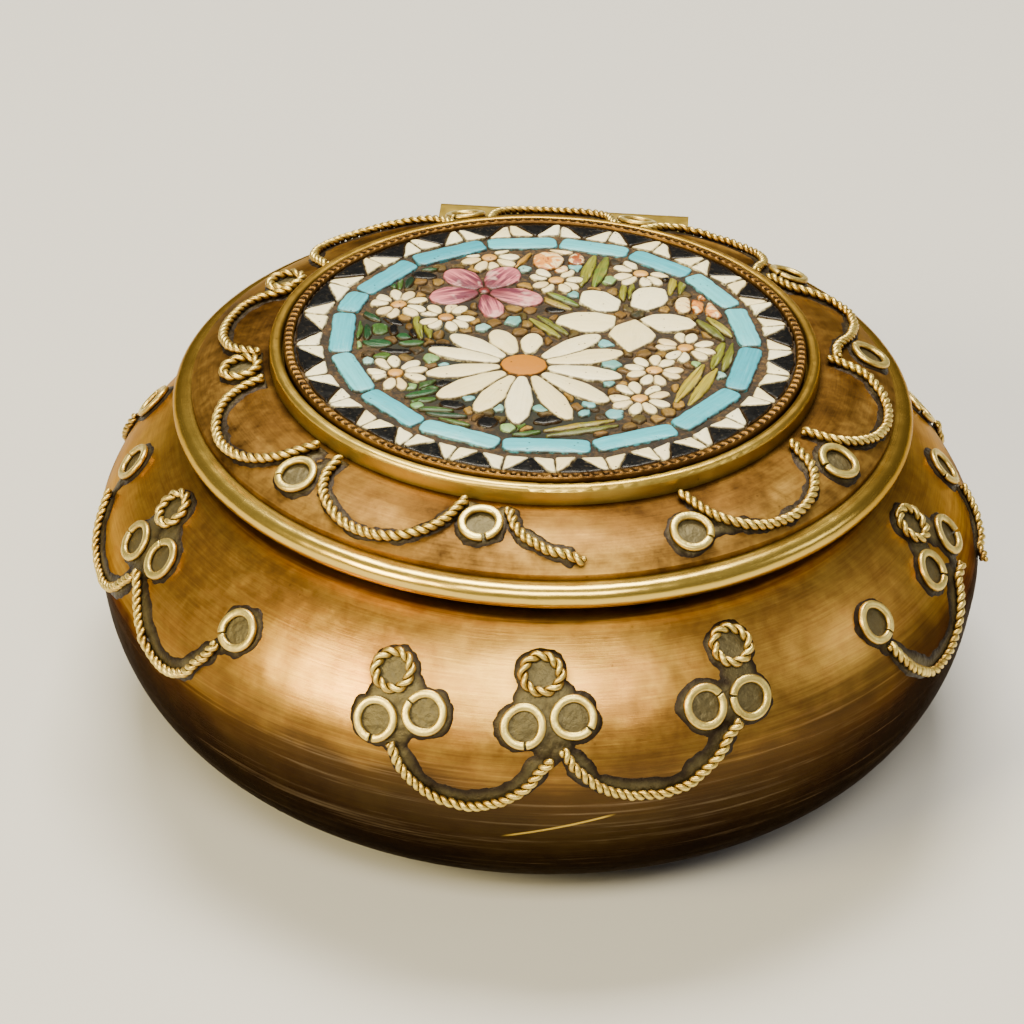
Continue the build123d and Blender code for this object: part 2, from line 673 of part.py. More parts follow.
leaf_slivers = []
for start, end, width in (
    ((1.8, 5.7), (2.4, 9.4), 1.25), ((6.3, 5.4), (6.6, 8.1), 0.9), ((-0.5, 4.8), (1.4, 3.5), 1.0),
    ((-0.8, 2.5), (1.0, 0.5), 0.95), ((7.7, 3.2), (9.2, 1.1), 1.1), ((9.2, 1.2), (8.6, -2.0), 1.05),
    ((8.3, -1.5), (6.9, -5.5), 1.25), ((2.4, 9.6), (5.2, 9.0), 0.8), ((3.9, 4.4), (3.9, 6.4), 0.8),
    ((0.4, -8.9), (4.0, -7.4), 0.9), ((-2.3, 7.3), (-1.4, 9.2), 0.6), ((-6.5, 2.4), (-5.9, -0.6), 0.85),
):
    leaf_slivers += lay(leaf(start, end, width))

turquoise_chips = lay([chip(place, size) for place, size in (
    ((-1.7, 1.9), 1.0), ((-3.2, 1.0), 0.85), ((1.1, 7.8), 0.9), ((1.15, 4.9), 0.7), ((7.7, 6.3), 0.85),
    ((9.25, 2.9), 0.7), ((8.7, -2.4), 0.8), ((3.0, 0.1), 0.85), ((3.4, -2.0), 1.0), ((3.3, -3.8), 0.7),
    ((3.75, -6.7), 1.0), ((2.45, -5.9), 0.75), ((2.3, -6.8), 0.65), ((0.2, -6.5), 0.9), ((-1.8, -6.7), 0.75),
    ((-3.3, -6.0), 0.65), ((-8.6, -2.9), 0.75), ((-1.5, 7.3), 0.75), ((-3.9, 2.2), 0.5), ((-4.8, -2.9), 0.6),
)])

green_chips = lay([chip(place, size) for place, size in (
    ((2.9, 6.6), 0.9), ((-5.5, -2.35), 1.0), ((-9.35, -1.4), 0.8), ((-9.4, -3.1), 0.7), ((-6.3, -5.2), 0.8),
    ((-5.8, -6.9), 0.7), ((-1.3, -8.5), 0.8), ((7.6, -1.5), 0.6),
)])

# Dark ground between the grass: place, length, width, bearing.
black_chips = lay([oval(*lump) for lump in (
    ((-6.6, 6.1), 1.3, 0.8, -10), ((0.3, 3.25), 1.1, 0.6, -10), ((-5.0, -1.1), 1.4, 0.5, 0),
    ((-4.1, -6.6), 1.2, 0.75, -10), ((0.6, -7.6), 1.5, 0.7, 15), ((-7.3, -1.75), 1.6, 0.45, 0),
    ((-2.3, -8.1), 1.0, 1.0, 0), ((-7.7, 1.15), 1.2, 0.4, -28), ((-4.7, -4.7), 0.9, 0.55, 30),
    ((-6.5, 0.1), 0.6, 0.9, 0), ((-7.6, 0.3), 0.4, 1.1, 10), ((5.9, 7.1), 0.6, 0.4, 0),
)])

grass_blades = lay([blade(start, end, width) for start, end, width in (
    ((-7.9, 4.4), (-8.6, 5.9), 0.42), ((-7.7, 4.4), (-7.9, 6.3), 0.42), ((-7.4, 4.5), (-7.2, 5.9), 0.4),
    ((-8.2, 4.2), (-9.1, 5.0), 0.4), ((-9.4, 2.0), (-8.3, 1.0), 0.45), ((-9.5, 1.3), (-9.3, -0.9), 0.5),
    ((-9.0, 0.8), (-8.8, -0.9), 0.45), ((-6.7, -5.8), (-5.0, -4.4), 0.5), ((-6.5, -6.2), (-4.8, -5.4), 0.5),
    ((-6.2, -6.6), (-4.7, -6.0), 0.45), ((-6.1, -7.2), (-3.9, -7.2), 0.4), ((-5.5, -7.6), (-3.2, -7.7), 0.42),
    ((-4.9, -8.0), (-3.0, -8.5), 0.42), ((-1.7, -9.1), (-0.4, -8.0), 0.42), ((-1.3, -9.4), (0.4, -8.6), 0.4),
    ((-2.0, -8.8), (-1.5, -7.7), 0.35), ((-7.2, 6.4), (-5.9, 6.9), 0.4), ((4.6, 6.4), (3.5, 6.8), 0.35),
)])
grass_blades += lay([oval(*lump) for lump in (
    ((-8.3, 0.3), 1.0, 1.1, 0), ((-8.3, -1.1), 1.5, 0.75, 0), ((-7.0, -0.3), 0.9, 0.6, 0),
    ((-6.6, -0.95), 1.3, 0.5, 10), ((-7.9, -2.35), 0.9, 0.6, 20), ((-5.3, -5.3), 1.0, 0.5, 30),
)])

# Small chips of ochre glass take up what ground is left, on a hexagonal pattern.
packing_pitch = 0.9
packing_rows = 11
packing_places = []
for row in range(-packing_rows, packing_rows + 1):
    for column in range(-packing_rows, packing_rows + 1):
        place = (packing_pitch * (column + 0.5 * (row % 2)), packing_pitch * row * 3**0.5 / 2)
        if hypot(*place) < field_radius:
            packing_places.append(place)
packing_chips = [face for face in lay([chip(place, 0.8) for place in packing_places]) if face.area > 0.14]

mosaic_groups = [tesserae(faces, label) for faces, label in (
    (border_slivers, "white_border_slivers"), (border_wedges, "black_border_wedges"),
    (white_flower, "white_flower"), (daisy_petals, "daisy_petals"), (daisy_centre, "daisy_centre"),
    (pink_flower_petals, "pink_flower_petals"), (pink_flower_centre, "pink_flower_centre"),
    (rose_petals, "rose_petals"), (small_daisy_petals, "small_daisy_petals"),
    (small_daisy_centres, "small_daisy_centres"), (leaf_slivers, "leaf_slivers"),
    (grass_blades, "grass_blades"), (turquoise_chips, "turquoise_chips"), (green_chips, "green_chips"),
    (black_chips, "black_chips"), (packing_chips, "packing_chips"),
)]

# ---------------------------------------------------------------- write the pieces
for piece in (body_bowl.part, mouth_collar.part, body_leaf.part, body_plain_rings, body_twisted_rings,
              body_scroll_wires, lid_shell.part, lid_rim.part, lid_knuckles.part, hinge_pin.part,
              lid_scallop_wires, broken_scallop, lid_plain_rings, lid_twisted_rings,
              mosaic_tray.part, milled_strip.part, mosaic_bed.part, turquoise_border.part, *mosaic_groups):
    export_step(piece, f"parts/{piece.label}.step")
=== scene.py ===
import itertools
import math
import random

import bpy
import numpy as np
from mathutils import Matrix, Vector, noise
from mathutils.kdtree import KDTree


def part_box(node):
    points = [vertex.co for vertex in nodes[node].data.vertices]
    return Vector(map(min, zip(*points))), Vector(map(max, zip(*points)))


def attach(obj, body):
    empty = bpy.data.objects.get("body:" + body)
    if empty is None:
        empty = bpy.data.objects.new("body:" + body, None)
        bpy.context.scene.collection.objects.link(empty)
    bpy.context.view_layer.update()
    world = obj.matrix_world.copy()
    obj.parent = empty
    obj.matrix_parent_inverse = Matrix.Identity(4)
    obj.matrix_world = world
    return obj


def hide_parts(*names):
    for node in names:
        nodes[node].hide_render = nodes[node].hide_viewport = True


# Looks of the round gilt-brass pill box. Work is in millimetres in the row frame; MM turns it into metres.
MM = 0.001
TURN = 2 * math.pi
random.seed(11)
rng = np.random.default_rng(11)

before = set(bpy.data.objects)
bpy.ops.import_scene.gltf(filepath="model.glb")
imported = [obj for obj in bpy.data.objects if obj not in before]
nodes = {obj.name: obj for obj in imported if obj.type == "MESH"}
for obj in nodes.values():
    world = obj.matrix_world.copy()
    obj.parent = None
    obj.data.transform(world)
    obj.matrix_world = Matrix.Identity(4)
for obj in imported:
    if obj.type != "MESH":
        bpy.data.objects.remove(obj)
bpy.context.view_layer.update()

# ---- reading the CAD frame


def unit(rows):
    """Rows of vectors, each made one long."""
    return rows / np.linalg.norm(rows, axis=1)[:, None]


def length_along(line):
    """Distance of each point from the line's start."""
    return np.concatenate([[0], np.cumsum(np.linalg.norm(np.diff(line, axis=0), axis=1))])


def islands(node):
    """Connected solids of a CAD node, each as (points in mm, triangles), with split vertices welded."""
    mesh = nodes[node].data
    points = np.array([v.co for v in mesh.vertices]) / MM
    mesh.calc_loop_triangles()
    triangles = np.array([t.vertices for t in mesh.loop_triangles])
    keys, welded = np.unique(np.round(points, 4), axis=0, return_inverse=True)
    triangles = welded.reshape(-1)[triangles].reshape(-1, 3)
    parent = np.arange(len(keys))

    def root(i):
        while parent[i] != i:
            parent[i] = parent[parent[i]]
            i = parent[i]
        return i

    for a, b, c in triangles:
        root_a = root(a)
        parent[root(b)] = root_a
        parent[root(c)] = root_a
    roots = np.array([root(i) for i in range(len(keys))])
    found = []
    for value in np.unique(roots[triangles[:, 0]]):
        chosen = triangles[roots[triangles[:, 0]] == value]
        used, local = np.unique(chosen, return_inverse=True)
        found.append((keys[used], local.reshape(-1, 3)))
    return found


def ring_of(points):
    """Centre, unit normal and mean radius of a wire ring, from its surface points."""
    centre = (points.min(0) + points.max(0)) / 2
    for _ in range(3):
        _, axes = np.linalg.eigh(np.cov((points - centre).T))
        flat = (points - centre) @ axes[:, 1:]
        centre = centre + axes[:, 1:] @ ((flat.max(0) + flat.min(0)) / 2)
    normal = axes[:, 0]
    reach = np.hypot(*((points - centre) @ axes[:, 1:]).T)
    centre = centre + normal * ((points - centre) @ normal).mean()
    return centre, normal, (reach.max() + reach.min()) / 2


def centre_line(points, triangles, step=0.45, cap=0.5):
    """Middle line of a bent wire, found by walking its surface from one end to the other."""
    count = len(points)
    pairs = np.vstack([triangles[:, [0, 1]], triangles[:, [1, 2]], triangles[:, [0, 2]]])
    edges = np.unique(np.sort(pairs, axis=1), axis=0)
    lengths = np.linalg.norm(points[edges[:, 0]] - points[edges[:, 1]], axis=1)

    def walk(start):
        """Distance over the surface from one point to every other."""
        far = np.full(count, 1e9)
        far[start] = 0
        while True:
            reach = far.copy()
            np.minimum.at(reach, edges[:, 0], far[edges[:, 1]] + lengths)
            np.minimum.at(reach, edges[:, 1], far[edges[:, 0]] + lengths)
            if np.allclose(reach, far):
                return reach
            far = reach

    first = int(np.argmax(walk(0)))
    far = walk(first)
    bins = np.round(far / step).astype(int)
    line = [points[bins == k].mean(0) for k in range(1, bins.max()) if (bins == k).sum() >= 4]
    ends = []
    for inner, beyond, tip in ((line[0], line[1], far < cap), (line[-1], line[-2], far > far.max() - cap)):
        way = (inner - beyond) / np.linalg.norm(inner - beyond)
        ends.append(inner + way * max(0.1, ((points[tip] - inner) @ way).max()))
    return np.array([ends[0]] + line + [ends[1]])


def resample(line, step, between=12):
    """Points at an even step along a smooth line through the given points."""
    control = [Vector(p) for p in line]
    control = [2 * control[0] - control[1]] + control + [2 * control[-1] - control[-2]]
    dense = []
    for a, b, c, d in zip(control, control[1:], control[2:], control[3:]):
        for k in range(between):
            t = k / between
            curve = 2 * b + (c - a) * t + (2 * a - 5 * b + 4 * c - d) * t**2
            dense.append(0.5 * (curve + (3 * b - a - 3 * c + d) * t**3))
    dense = np.array([list(p) for p in dense + [control[-2]]])
    along = length_along(dense)
    places = np.linspace(0, along[-1], max(3, int(round(along[-1] / step)) + 1))
    return np.stack([np.interp(places, along, dense[:, k]) for k in range(3)], axis=1)


# ---- meshes


def new_mesh(name, points, faces, material, body, replaced=(), values=None):
    """A piece of the object, in place, riding on a CAD body. values holds numbers stored on its points."""
    mesh = bpy.data.meshes.new(name)
    mesh.from_pydata((np.asarray(points) * MM).tolist(), [], [list(map(int, f)) for f in faces])
    mesh.validate()
    for key, numbers in (values or {}).items():
        layer = mesh.attributes.new(key, "FLOAT", "POINT")
        layer.data.foreach_set("value", np.asarray(numbers, np.float32))
    mesh.shade_smooth()
    mesh.materials.append(material)
    piece = bpy.data.objects.new(name, mesh)
    bpy.context.scene.collection.objects.link(piece)
    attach(piece, body)
    if replaced:
        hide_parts(*replaced)


class Pile:
    """Gathers several closed shapes into one mesh."""

    def __init__(self):
        self.points = []
        self.faces = []
        self.values = {}
        self.count = 0

    def add(self, points, faces, **values):
        self.points.append(np.asarray(points, float))
        self.faces += [[i + self.count for i in face] for face in faces]
        for key, numbers in values.items():
            self.values.setdefault(key, []).append(np.broadcast_to(np.asarray(numbers, float), len(points)))
        self.count += len(points)

    def make(self, name, material, body, replaced):
        values = {key: np.concatenate(parts) for key, parts in self.values.items()}
        new_mesh(name, np.vstack(self.points), self.faces, material, body, replaced, values)


def band_faces(rows, size, closed=False, flipped=False):
    """Quads between rows of size points each. closed joins the last row to the first."""
    faces = []
    for row in range(rows if closed else rows - 1):
        here, ahead = row * size, (row + 1) % rows * size
        for k in range(size):
            j = (k + 1) % size
            face = [here + k, here + j, ahead + j, ahead + k]
            faces.append([face[0], *face[:0:-1]] if flipped else face)
    return faces


def open_edges(faces):
    """Directed edges that only one face has, in the order they are met."""
    edges = {}
    for face in faces:
        for a, b in zip(face, np.roll(face, -1)):
            if (b, a) in edges:
                del edges[(b, a)]
            else:
                edges[(a, b)] = True
    return list(edges)


def grid_quads(here, ahead):
    """Quads between neighbouring lines of point numbers."""
    return np.stack([here[:, :-1], ahead[:, :-1], ahead[:, 1:], here[:, 1:]], axis=-1).reshape(-1, 4)


def used_only(quads):
    """Numbers of the points in use, and the quads counted over those alone."""
    used, local = np.unique(quads, return_inverse=True)
    return used, local.reshape(-1, 4)


def film_faces(upper, count):
    """Faces of a closed film: its upper side, the under side count points on, and the walls between."""
    faces = upper.tolist() + (upper[:, ::-1] + count).tolist()
    return faces + [[b, a, a + count, b + count] for a, b in open_edges(upper)]


def frame_along(line, ups, closed):
    """Side and up directions at each point of a line, up lying as near to ups as it can."""
    ahead = unit(np.roll(line, -1, 0) - np.roll(line, 1, 0) if closed else np.gradient(line, axis=0))
    side = unit(np.cross(ahead, ups))
    return side, np.cross(side, ahead)


def tube(centres, ups, radii, sides, closed=False):
    """Round wire through a row of centres. ups are the directions of its first side."""
    side, up = frame_along(centres, ups, closed)
    rows = len(centres)
    points = []
    for k in range(sides):
        angle = TURN * k / sides
        points.append(centres + (math.cos(angle) * up + math.sin(angle) * side) * radii[:, None])
    faces = band_faces(rows, sides, closed, flipped=True)
    if not closed:
        faces.append(list(range(sides)))
        faces.append([(rows - 1) * sides + k for k in range(sides - 1, -1, -1)])
    return np.stack(points, axis=1).reshape(-1, 3), faces


ROPE_RADIUS = 0.27
STRAND_SIDES = 9


def twisted(pile, line, ups, pitch, worn, closed=False):
    """Two wires twisted together along a line. worn flattens the side away from the surface a little."""
    along = length_along(line)
    if closed:
        total = along[-1] + np.linalg.norm(line[0] - line[-1])
        phase = TURN * round(total / pitch) * along / total
    else:
        phase = TURN * along / pitch + random.uniform(0, 3)
        phase += 0.35 * np.sin(along * 1.7 + random.uniform(0, 6))
    side, up = frame_along(line, ups, closed)
    radii = np.full(len(line), ROPE_RADIUS * 0.52)
    if not closed:
        radii[[0, -1]] *= 0.75
    for start in (0, math.pi):
        offset = np.cos(phase + start)[:, None] * up * (1 - worn) + np.sin(phase + start)[:, None] * side
        points, faces = tube(line + offset * ROPE_RADIUS * 0.47, up, radii, STRAND_SIDES, closed)
        over = points - np.repeat(line, STRAND_SIDES, 0)
        high = (over * np.repeat(up, STRAND_SIDES, 0)).sum(1) / ROPE_RADIUS
        pile.add(points, faces, high=high, seed=random.random())


# ---- material building


class Look:
    """A material and short names for the nodes it is made of. Lengths are in millimetres."""

    def __init__(self, name):
        self.material = bpy.data.materials.new(name)
        self.material.use_nodes = True
        self.tree = self.material.node_tree
        self.tree.nodes.clear()
        self.shader = self.node("BsdfPrincipled")
        self.node("OutputMaterial", (self.shader.outputs[0],))
        place = self.node("TexCoord")
        self.facing = place.outputs["Normal"]
        self.place = self.vector("MULTIPLY", place.outputs["Object"], (1 / MM, 1 / MM, 1 / MM))
        x, y, self.z = self.node("SeparateXYZ", (self.place,)).outputs
        self.radius = self.math("SQRT", self.add(self.times(x, x), self.times(y, y)))
        self.angle = self.math("ARCTAN2", x, self.times(y, -1))

    def put(self, socket, value):
        if isinstance(value, bpy.types.NodeSocket):
            self.tree.links.new(value, socket)
        elif socket.type == "RGBA" and len(value) == 3:
            socket.default_value = (*value, 1)
        else:
            socket.default_value = value

    def node(self, kind, inputs=(), **settings):
        """A new node. Inputs go by name, or else in order."""
        node = self.tree.nodes.new("ShaderNode" + kind)
        for key, value in settings.items():
            setattr(node, key, value)
        for key, value in inputs.items() if isinstance(inputs, dict) else enumerate(inputs):
            self.put(node.inputs[key], value)
        return node

    def math(self, kind, a, b=0.0, clamp=False):
        return self.node("Math", (a, b), operation=kind, use_clamp=clamp).outputs[0]

    def add(self, a, b):
        return self.math("ADD", a, b)

    def less(self, a, b):
        return self.math("SUBTRACT", a, b)

    def times(self, a, b, clamp=False):
        return self.math("MULTIPLY", a, b, clamp)

    def sway(self, value, by, amount, middle=0.5):
        """Value moved up and down by a noise that lies round middle."""
        return self.add(value, self.times(self.less(by, middle), amount))

    def degrees(self):
        """Angle round the box, 0 at the front and growing to the right."""
        return self.times(self.angle, 180 / math.pi)

    def vector(self, kind, a, b):
        outputs = self.node("VectorMath", (a, b), operation=kind).outputs
        return outputs["Value" if kind == "DOT_PRODUCT" else 0]

    def combine(self, *parts):
        return self.node("CombineXYZ", parts).outputs[0]

    def noise(self, scale, detail=3, rough=0.6, distortion=0.0, where=None):
        where = self.place if where is None else where
        inputs = {"Vector": where, "Scale": scale, "Detail": detail, "Roughness": rough, "Distortion": distortion}
        return self.node("TexNoise", inputs).outputs["Fac"]

    def cells(self, scale):
        """Distance from the middle of the nearest cell."""
        return self.node("TexVoronoi", {"Vector": self.place, "Scale": scale}).outputs["Distance"]

    def span(self, value, low, high, to_low=0.0, to_high=1.0, smooth=True):
        """Value mapped from low..high onto to_low..to_high, and held there outside it."""
        kind = "SMOOTHSTEP" if smooth else "LINEAR"
        return self.node("MapRange", (value, low, high, to_low, to_high), interpolation_type=kind).outputs[0]

    def mix(self, share, a, b, kind="MIX"):
        inputs = {"Factor": share, "A": a, "B": b}
        return self.node("Mix", inputs, data_type="RGBA", blend_type=kind).outputs["Result"]

    def ramp(self, value, stops):
        """Colour ramp of (place, display colour) stops."""
        node = self.node("ValToRGB", (value,))
        while len(node.color_ramp.elements) < len(stops):
            node.color_ramp.elements.new(0.5)
        for element, (position, colour) in zip(node.color_ramp.elements, stops):
            element.position = position
            element.color = (*srgb(*colour), 1)
        return node.outputs[0]

    def paint(self, share, colour):
        """Lays a display colour, or a ramp's, over the look's own colour."""
        over = colour if isinstance(colour, bpy.types.NodeSocket) else srgb(*colour)
        self.colour = self.mix(share, self.colour, over)

    def tint(self, share, factors, kind="MULTIPLY"):
        """Multiplies a share of the look's colour by factors, or blends it with them in another way."""
        self.colour = self.mix(share, self.colour, self.mix(1.0, self.colour, factors, kind))

    def number(self, name):
        """A number stored on the mesh's points."""
        return self.node("Attribute", attribute_name=name).outputs["Fac"]

    def lane(self, across, along, seed):
        """Place on a tessera, squeezed across it, drawn out along it, and another for each tessera."""
        scales = {"across": across, "along": along, "seed": seed}
        return self.combine(*(self.times(self.number(name), scale) for name, scale in scales.items()))

    def crevice(self, distance, low=0.35, high=0.95):
        """1 in crevices and against neighbouring pieces, 0 in the open."""
        node = self.node("AmbientOcclusion", {"Distance": distance * MM}, samples=6)
        return self.span(node.outputs["AO"], low, high, 1, 0)

    def bump(self, height, depth, strength, before=None):
        inputs = {"Strength": strength, "Distance": depth * MM, "Height": height}
        if before is not None:
            inputs["Normal"] = before
        return self.node("Bump", inputs).outputs[0]

    def finish(self, metallic, dull, relief):
        inputs = {"Base Color": self.colour, "Metallic": metallic, "Roughness": dull, "Normal": relief}
        for key, value in inputs.items():
            self.put(self.shader.inputs[key], value)
        return self.material


def srgb(r, g, b):
    """Linear colour from 0..255 display values."""
    shares = (c / 255 for c in (r, g, b))
    return tuple(c / 12.92 if c <= 0.04045 else ((c + 0.055) / 1.055) ** 2.4 for c in shares)


BRIGHT = (240, 203, 94)
GOLD = (220, 173, 76)
BRONZE = (182, 131, 60)
BROWN = (100, 69, 36)
DARK = (30, 20, 10)
METAL_EDGE = (0.7, 0.56, 0.38)  # tint of the metal's glancing highlights
LOW_SHADE_EDGE = (0.2, 0.17, 0.14)

BODY_TONES = ((0.12, BROWN), (0.3, (150, 108, 54)), (0.4, BRONZE), (0.54, GOLD), (0.8, BRIGHT))
PAINTED_FOOT_SHADE_TONES = ((0.0, (11, 10, 10)), (0.3, (24, 21, 19)), (0.52, (47, 38, 29)), (0.72, (78, 57, 34)))
INSIDE_TONES = ((0.25, BROWN), (0.5, BRONZE), (0.75, GOLD))
LID_TONES = ((0.14, DARK), (0.28, (86, 60, 28)), (0.44, (142, 105, 50)), (0.62, (188, 148, 72)), (0.9, BRIGHT))
RIM_TONES = ((0.04, BROWN), (0.14, (166, 124, 52)), (0.28, (220, 184, 82)), (0.8, (244, 216, 110)))
STRIP_TONES = ((0.15, DARK), (0.3, (74, 50, 24)), (0.46, (116, 84, 40)), (0.75, (176, 138, 70)))
WIRE_TONES = ((0.1, BROWN), (0.3, (138, 104, 46)), (0.56, (204, 170, 84)), (0.95, (244, 222, 128)))
SOLDER_TONES = ((0.0, (24, 16, 8)), (0.3, (42, 31, 17)), (0.58, (70, 61, 38)), (0.95, (94, 85, 57)))
CEMENT_TONES = ((0.34, (12, 8, 4)), (0.47, (36, 25, 10)), (0.58, (76, 54, 22)), (0.74, (160, 124, 58)))


def around(look, per_mm, lengthwise):
    """Place on a turned part, stretched round it: marks from a lathe or a brush run round the box."""
    return look.combine(look.times(look.angle, lengthwise), look.times(look.radius, per_mm), look.times(look.z, per_mm))


def turned_metal(name, tones, roughness, brush, crevice_reach, grain, spotted=0.55, patchy=1.0):
    """Gilt brass with marks running round it, uneven patina, and darker colour in the crevices and against neighbouring
    pieces.
    """
    look = Look(name)
    marks = look.noise(1.0, 4, 0.7, where=around(look, 9.0, 5.0))
    fine = look.noise(1.0, 3, 0.7, where=around(look, 26.0, 9.0))
    clouds = look.noise(0.17, 4, 0.62, 0.4)
    mottle = look.noise(1.5, 4, 0.7, 0.3)
    specks = look.times(look.span(look.cells(1.35), 0.03, 0.12, 1, 0), look.span(look.noise(0.5), 0.5, 0.62))
    tone = look.sway(0.4, clouds, 0.55 * patchy)
    tone = look.sway(tone, mottle, 0.25 * patchy)
    tone = look.sway(tone, marks, 0.35 * brush, 0.3)
    crevice = look.crevice(crevice_reach)
    look.colour = look.ramp(tone, tones)
    # darker colour in crevices and against neighbouring pieces, found by occlusion
    look.paint(look.times(crevice, 0.85), DARK)
    look.paint(look.times(specks, spotted), BROWN)
    dull = look.add(look.times(mottle, 0.22 * patchy), look.times(fine, 0.12))
    dull = look.add(dull, roughness - 0.05 - 0.11 * patchy)
    look.dull = look.add(dull, look.times(crevice, 0.25))
    look.put(look.shader.inputs["Specular Tint"], METAL_EDGE)
    height = look.add(look.times(marks, 0.6), look.times(fine, 0.5))
    dents = look.bump(look.noise(0.22, 2), 0.35, 0.5)
    look.relief = look.bump(height, 0.012 * grain, 0.7, dents)
    return look


def body_look():
    """Golden above the bulge; from just below it down to the foot, painted shade and a painted dark reflection in brown
    and grey.
    """
    look = turned_metal("gilt_body_brass", BODY_TONES, roughness=0.34, brush=0.7, crevice_reach=0.5, grain=1.0, patchy=0.7)
    streak = look.noise(1.0, 4, 0.7, where=around(look, 3.2, 1.6))
    turn = look.degrees()
    # painted shade: the dark lower part reaches higher on the right-hand side, away from the key light
    edge = look.sway(look.sway(look.z, look.noise(0.16, 3), 3.5), streak, 2.5)
    edge = look.less(edge, look.times(look.span(turn, 15, 60, 0.0, 1.5), look.span(turn, 100, 150, 1, 0)))
    # painted shade and painted dark reflection: below the bulge the colour goes dark brown, and grey towards the foot
    low = look.span(edge, 9.2, 12.4, 1, 0)
    brown = look.ramp(look.span(edge, 2.0, 13.0, smooth=False), PAINTED_FOOT_SHADE_TONES)
    paler = look.mix(1.0, brown, (0.5, 0.4, 0.26), "SCREEN")
    brown = look.mix(look.span(streak, 0.54, 0.76, 0.0, 0.22), brown, paler)
    look.paint(look.times(low, 0.95), brown)
    # painted shadow: a dark band on the body just under the lid's rim
    grime_and_shadow = look.span(look.sway(look.z, streak, 0.4), 15.55, 15.85, 0.0, 0.9)
    look.paint(grime_and_shadow, DARK)
    # the glancing highlights are dimmed where the lower body has painted shade
    look.put(look.shader.inputs["Specular Tint"], look.mix(low, METAL_EDGE, LOW_SHADE_EDGE))
    # a scratch low on the front, rising to the right
    line = look.less(look.z, look.add(look.times(turn, 0.108), 6.6))
    scratch = look.span(look.math("ABSOLUTE", line), 0.02, 0.09, 1, 0)
    scratch = look.times(scratch, look.span(look.math("ABSOLUTE", look.less(turn, 6.0)), 5.0, 7.0, 1, 0))
    look.paint(look.times(scratch, 0.7), BRIGHT)
    # the inside faces the middle of the box, and is stained
    inside = look.vector("DOT_PRODUCT", look.facing, look.vector("SUBTRACT", look.place, (0, 0, 10)))
    stain = look.ramp(look.noise(0.45, 4, 0.6, 0.5), INSIDE_TONES)
    look.paint(look.times(look.span(inside, -0.2, 0.2, 1, 0), 0.75), stain)
    return look.finish(0.97, look.add(look.dull, look.times(low, 0.08)), look.relief)


def lid_look():
    """Browner between the tray and the scallops, golden outside them."""
    look = turned_metal("gilt_lid_brass", LID_TONES, roughness=0.48, brush=0.6, crevice_reach=0.6,
                        grain=0.8, spotted=0.75, patchy=1.35)
    reach = look.sway(look.radius, look.noise(0.35, 3), 1.6)
    look.tint(look.span(reach, 15.3, 16.4, 1, 0), (0.46, 0.42, 0.38))
    return look.finish(0.95, look.dull, look.relief)


def paint_side_shade(look):
    """Painted shade: darkens the sides and back, so that only the front stays bright, as if lit from there."""
    turn = look.math("ABSOLUTE", look.add(look.degrees(), 6.0))
    turn = look.sway(turn, look.noise(0.2, 2), 40.0)
    look.tint(look.span(turn, 35, 80), (0.58, 0.5, 0.42))


def rim_look():
    """Rubbed bright, with painted shade on the sides and back, and a thin dark line low down: painted shade of a
    groove.
    """
    look = turned_metal("gilt_rubbed_edge", RIM_TONES, roughness=0.24, brush=0.4, crevice_reach=0.35,
                        grain=0.3, spotted=0.1, patchy=0.4)
    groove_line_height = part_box("lid_rim")[0].z / MM + 0.24
    line = look.math("ABSOLUTE", look.less(look.sway(look.z, look.noise(0.4, 2), 0.12), groove_line_height))
    line = look.span(line, 0.03, 0.1, 1, 0)
    # painted shade on the sides and back
    paint_side_shade(look)
    # painted shade of a groove: a thin dark line low on the rim
    look.paint(look.times(line, 0.8), DARK)
    return look.finish(0.95, look.dull, look.bump(line, -0.05, 0.5, look.relief))


def tray_look():
    """Bright like the rim, with the same painted shade on the sides and back, but duller and more scratched."""
    look = turned_metal("gilt_tray", RIM_TONES, roughness=0.33, brush=0.8, crevice_reach=0.45, grain=0.9)
    # painted shade on the sides and back
    paint_side_shade(look)
    return look.finish(0.95, look.dull, look.relief)


def plain_metal(name, tones, roughness, brush, crevice_reach, grain):
    """Turned metal with nothing more on it."""
    look = turned_metal(name, tones, roughness, brush, crevice_reach, grain)
    return look.finish(0.95, look.dull, look.relief)


def wire_look():
    """Pale worn gilt wire: bright on top, brown low down and between the strands."""
    look = Look("gilt_wire_brass")
    worn = look.sway(look.number("high"), look.noise(1.1, 3), 1.6)
    worn = look.sway(worn, look.noise(6.0, 2), 0.5)
    look.colour = look.ramp(look.span(worn, -0.9, 1.3, smooth=False), WIRE_TONES)
    look.paint(look.times(look.crevice(0.22, 0.3, 1.0), 0.9), (48, 33, 18))
    dull = look.add(look.times(look.noise(4.0), 0.25), 0.26)
    return look.finish(0.92, dull, look.bump(look.noise(7.0, 3), 0.03, 0.5))


def solder_look():
    """Grey-olive solder, browner towards its edge."""
    look = Look("solder")
    grime_and_shadow = look.noise(2.2, 4, 0.7)
    pitted = look.cells(3.2)
    share = look.sway(look.number("depth"), grime_and_shadow, 0.25)
    look.colour = look.ramp(look.span(share, -0.08, 0.5, smooth=False), SOLDER_TONES)
    look.paint(look.span(pitted, 0.0, 0.22, 0.6, 0.0), (56, 44, 28))
    relief = look.bump(look.add(grime_and_shadow, look.times(pitted, 0.4)), 0.09, 0.8)
    return look.finish(0.7, look.add(look.times(grime_and_shadow, 0.3), 0.36), relief)


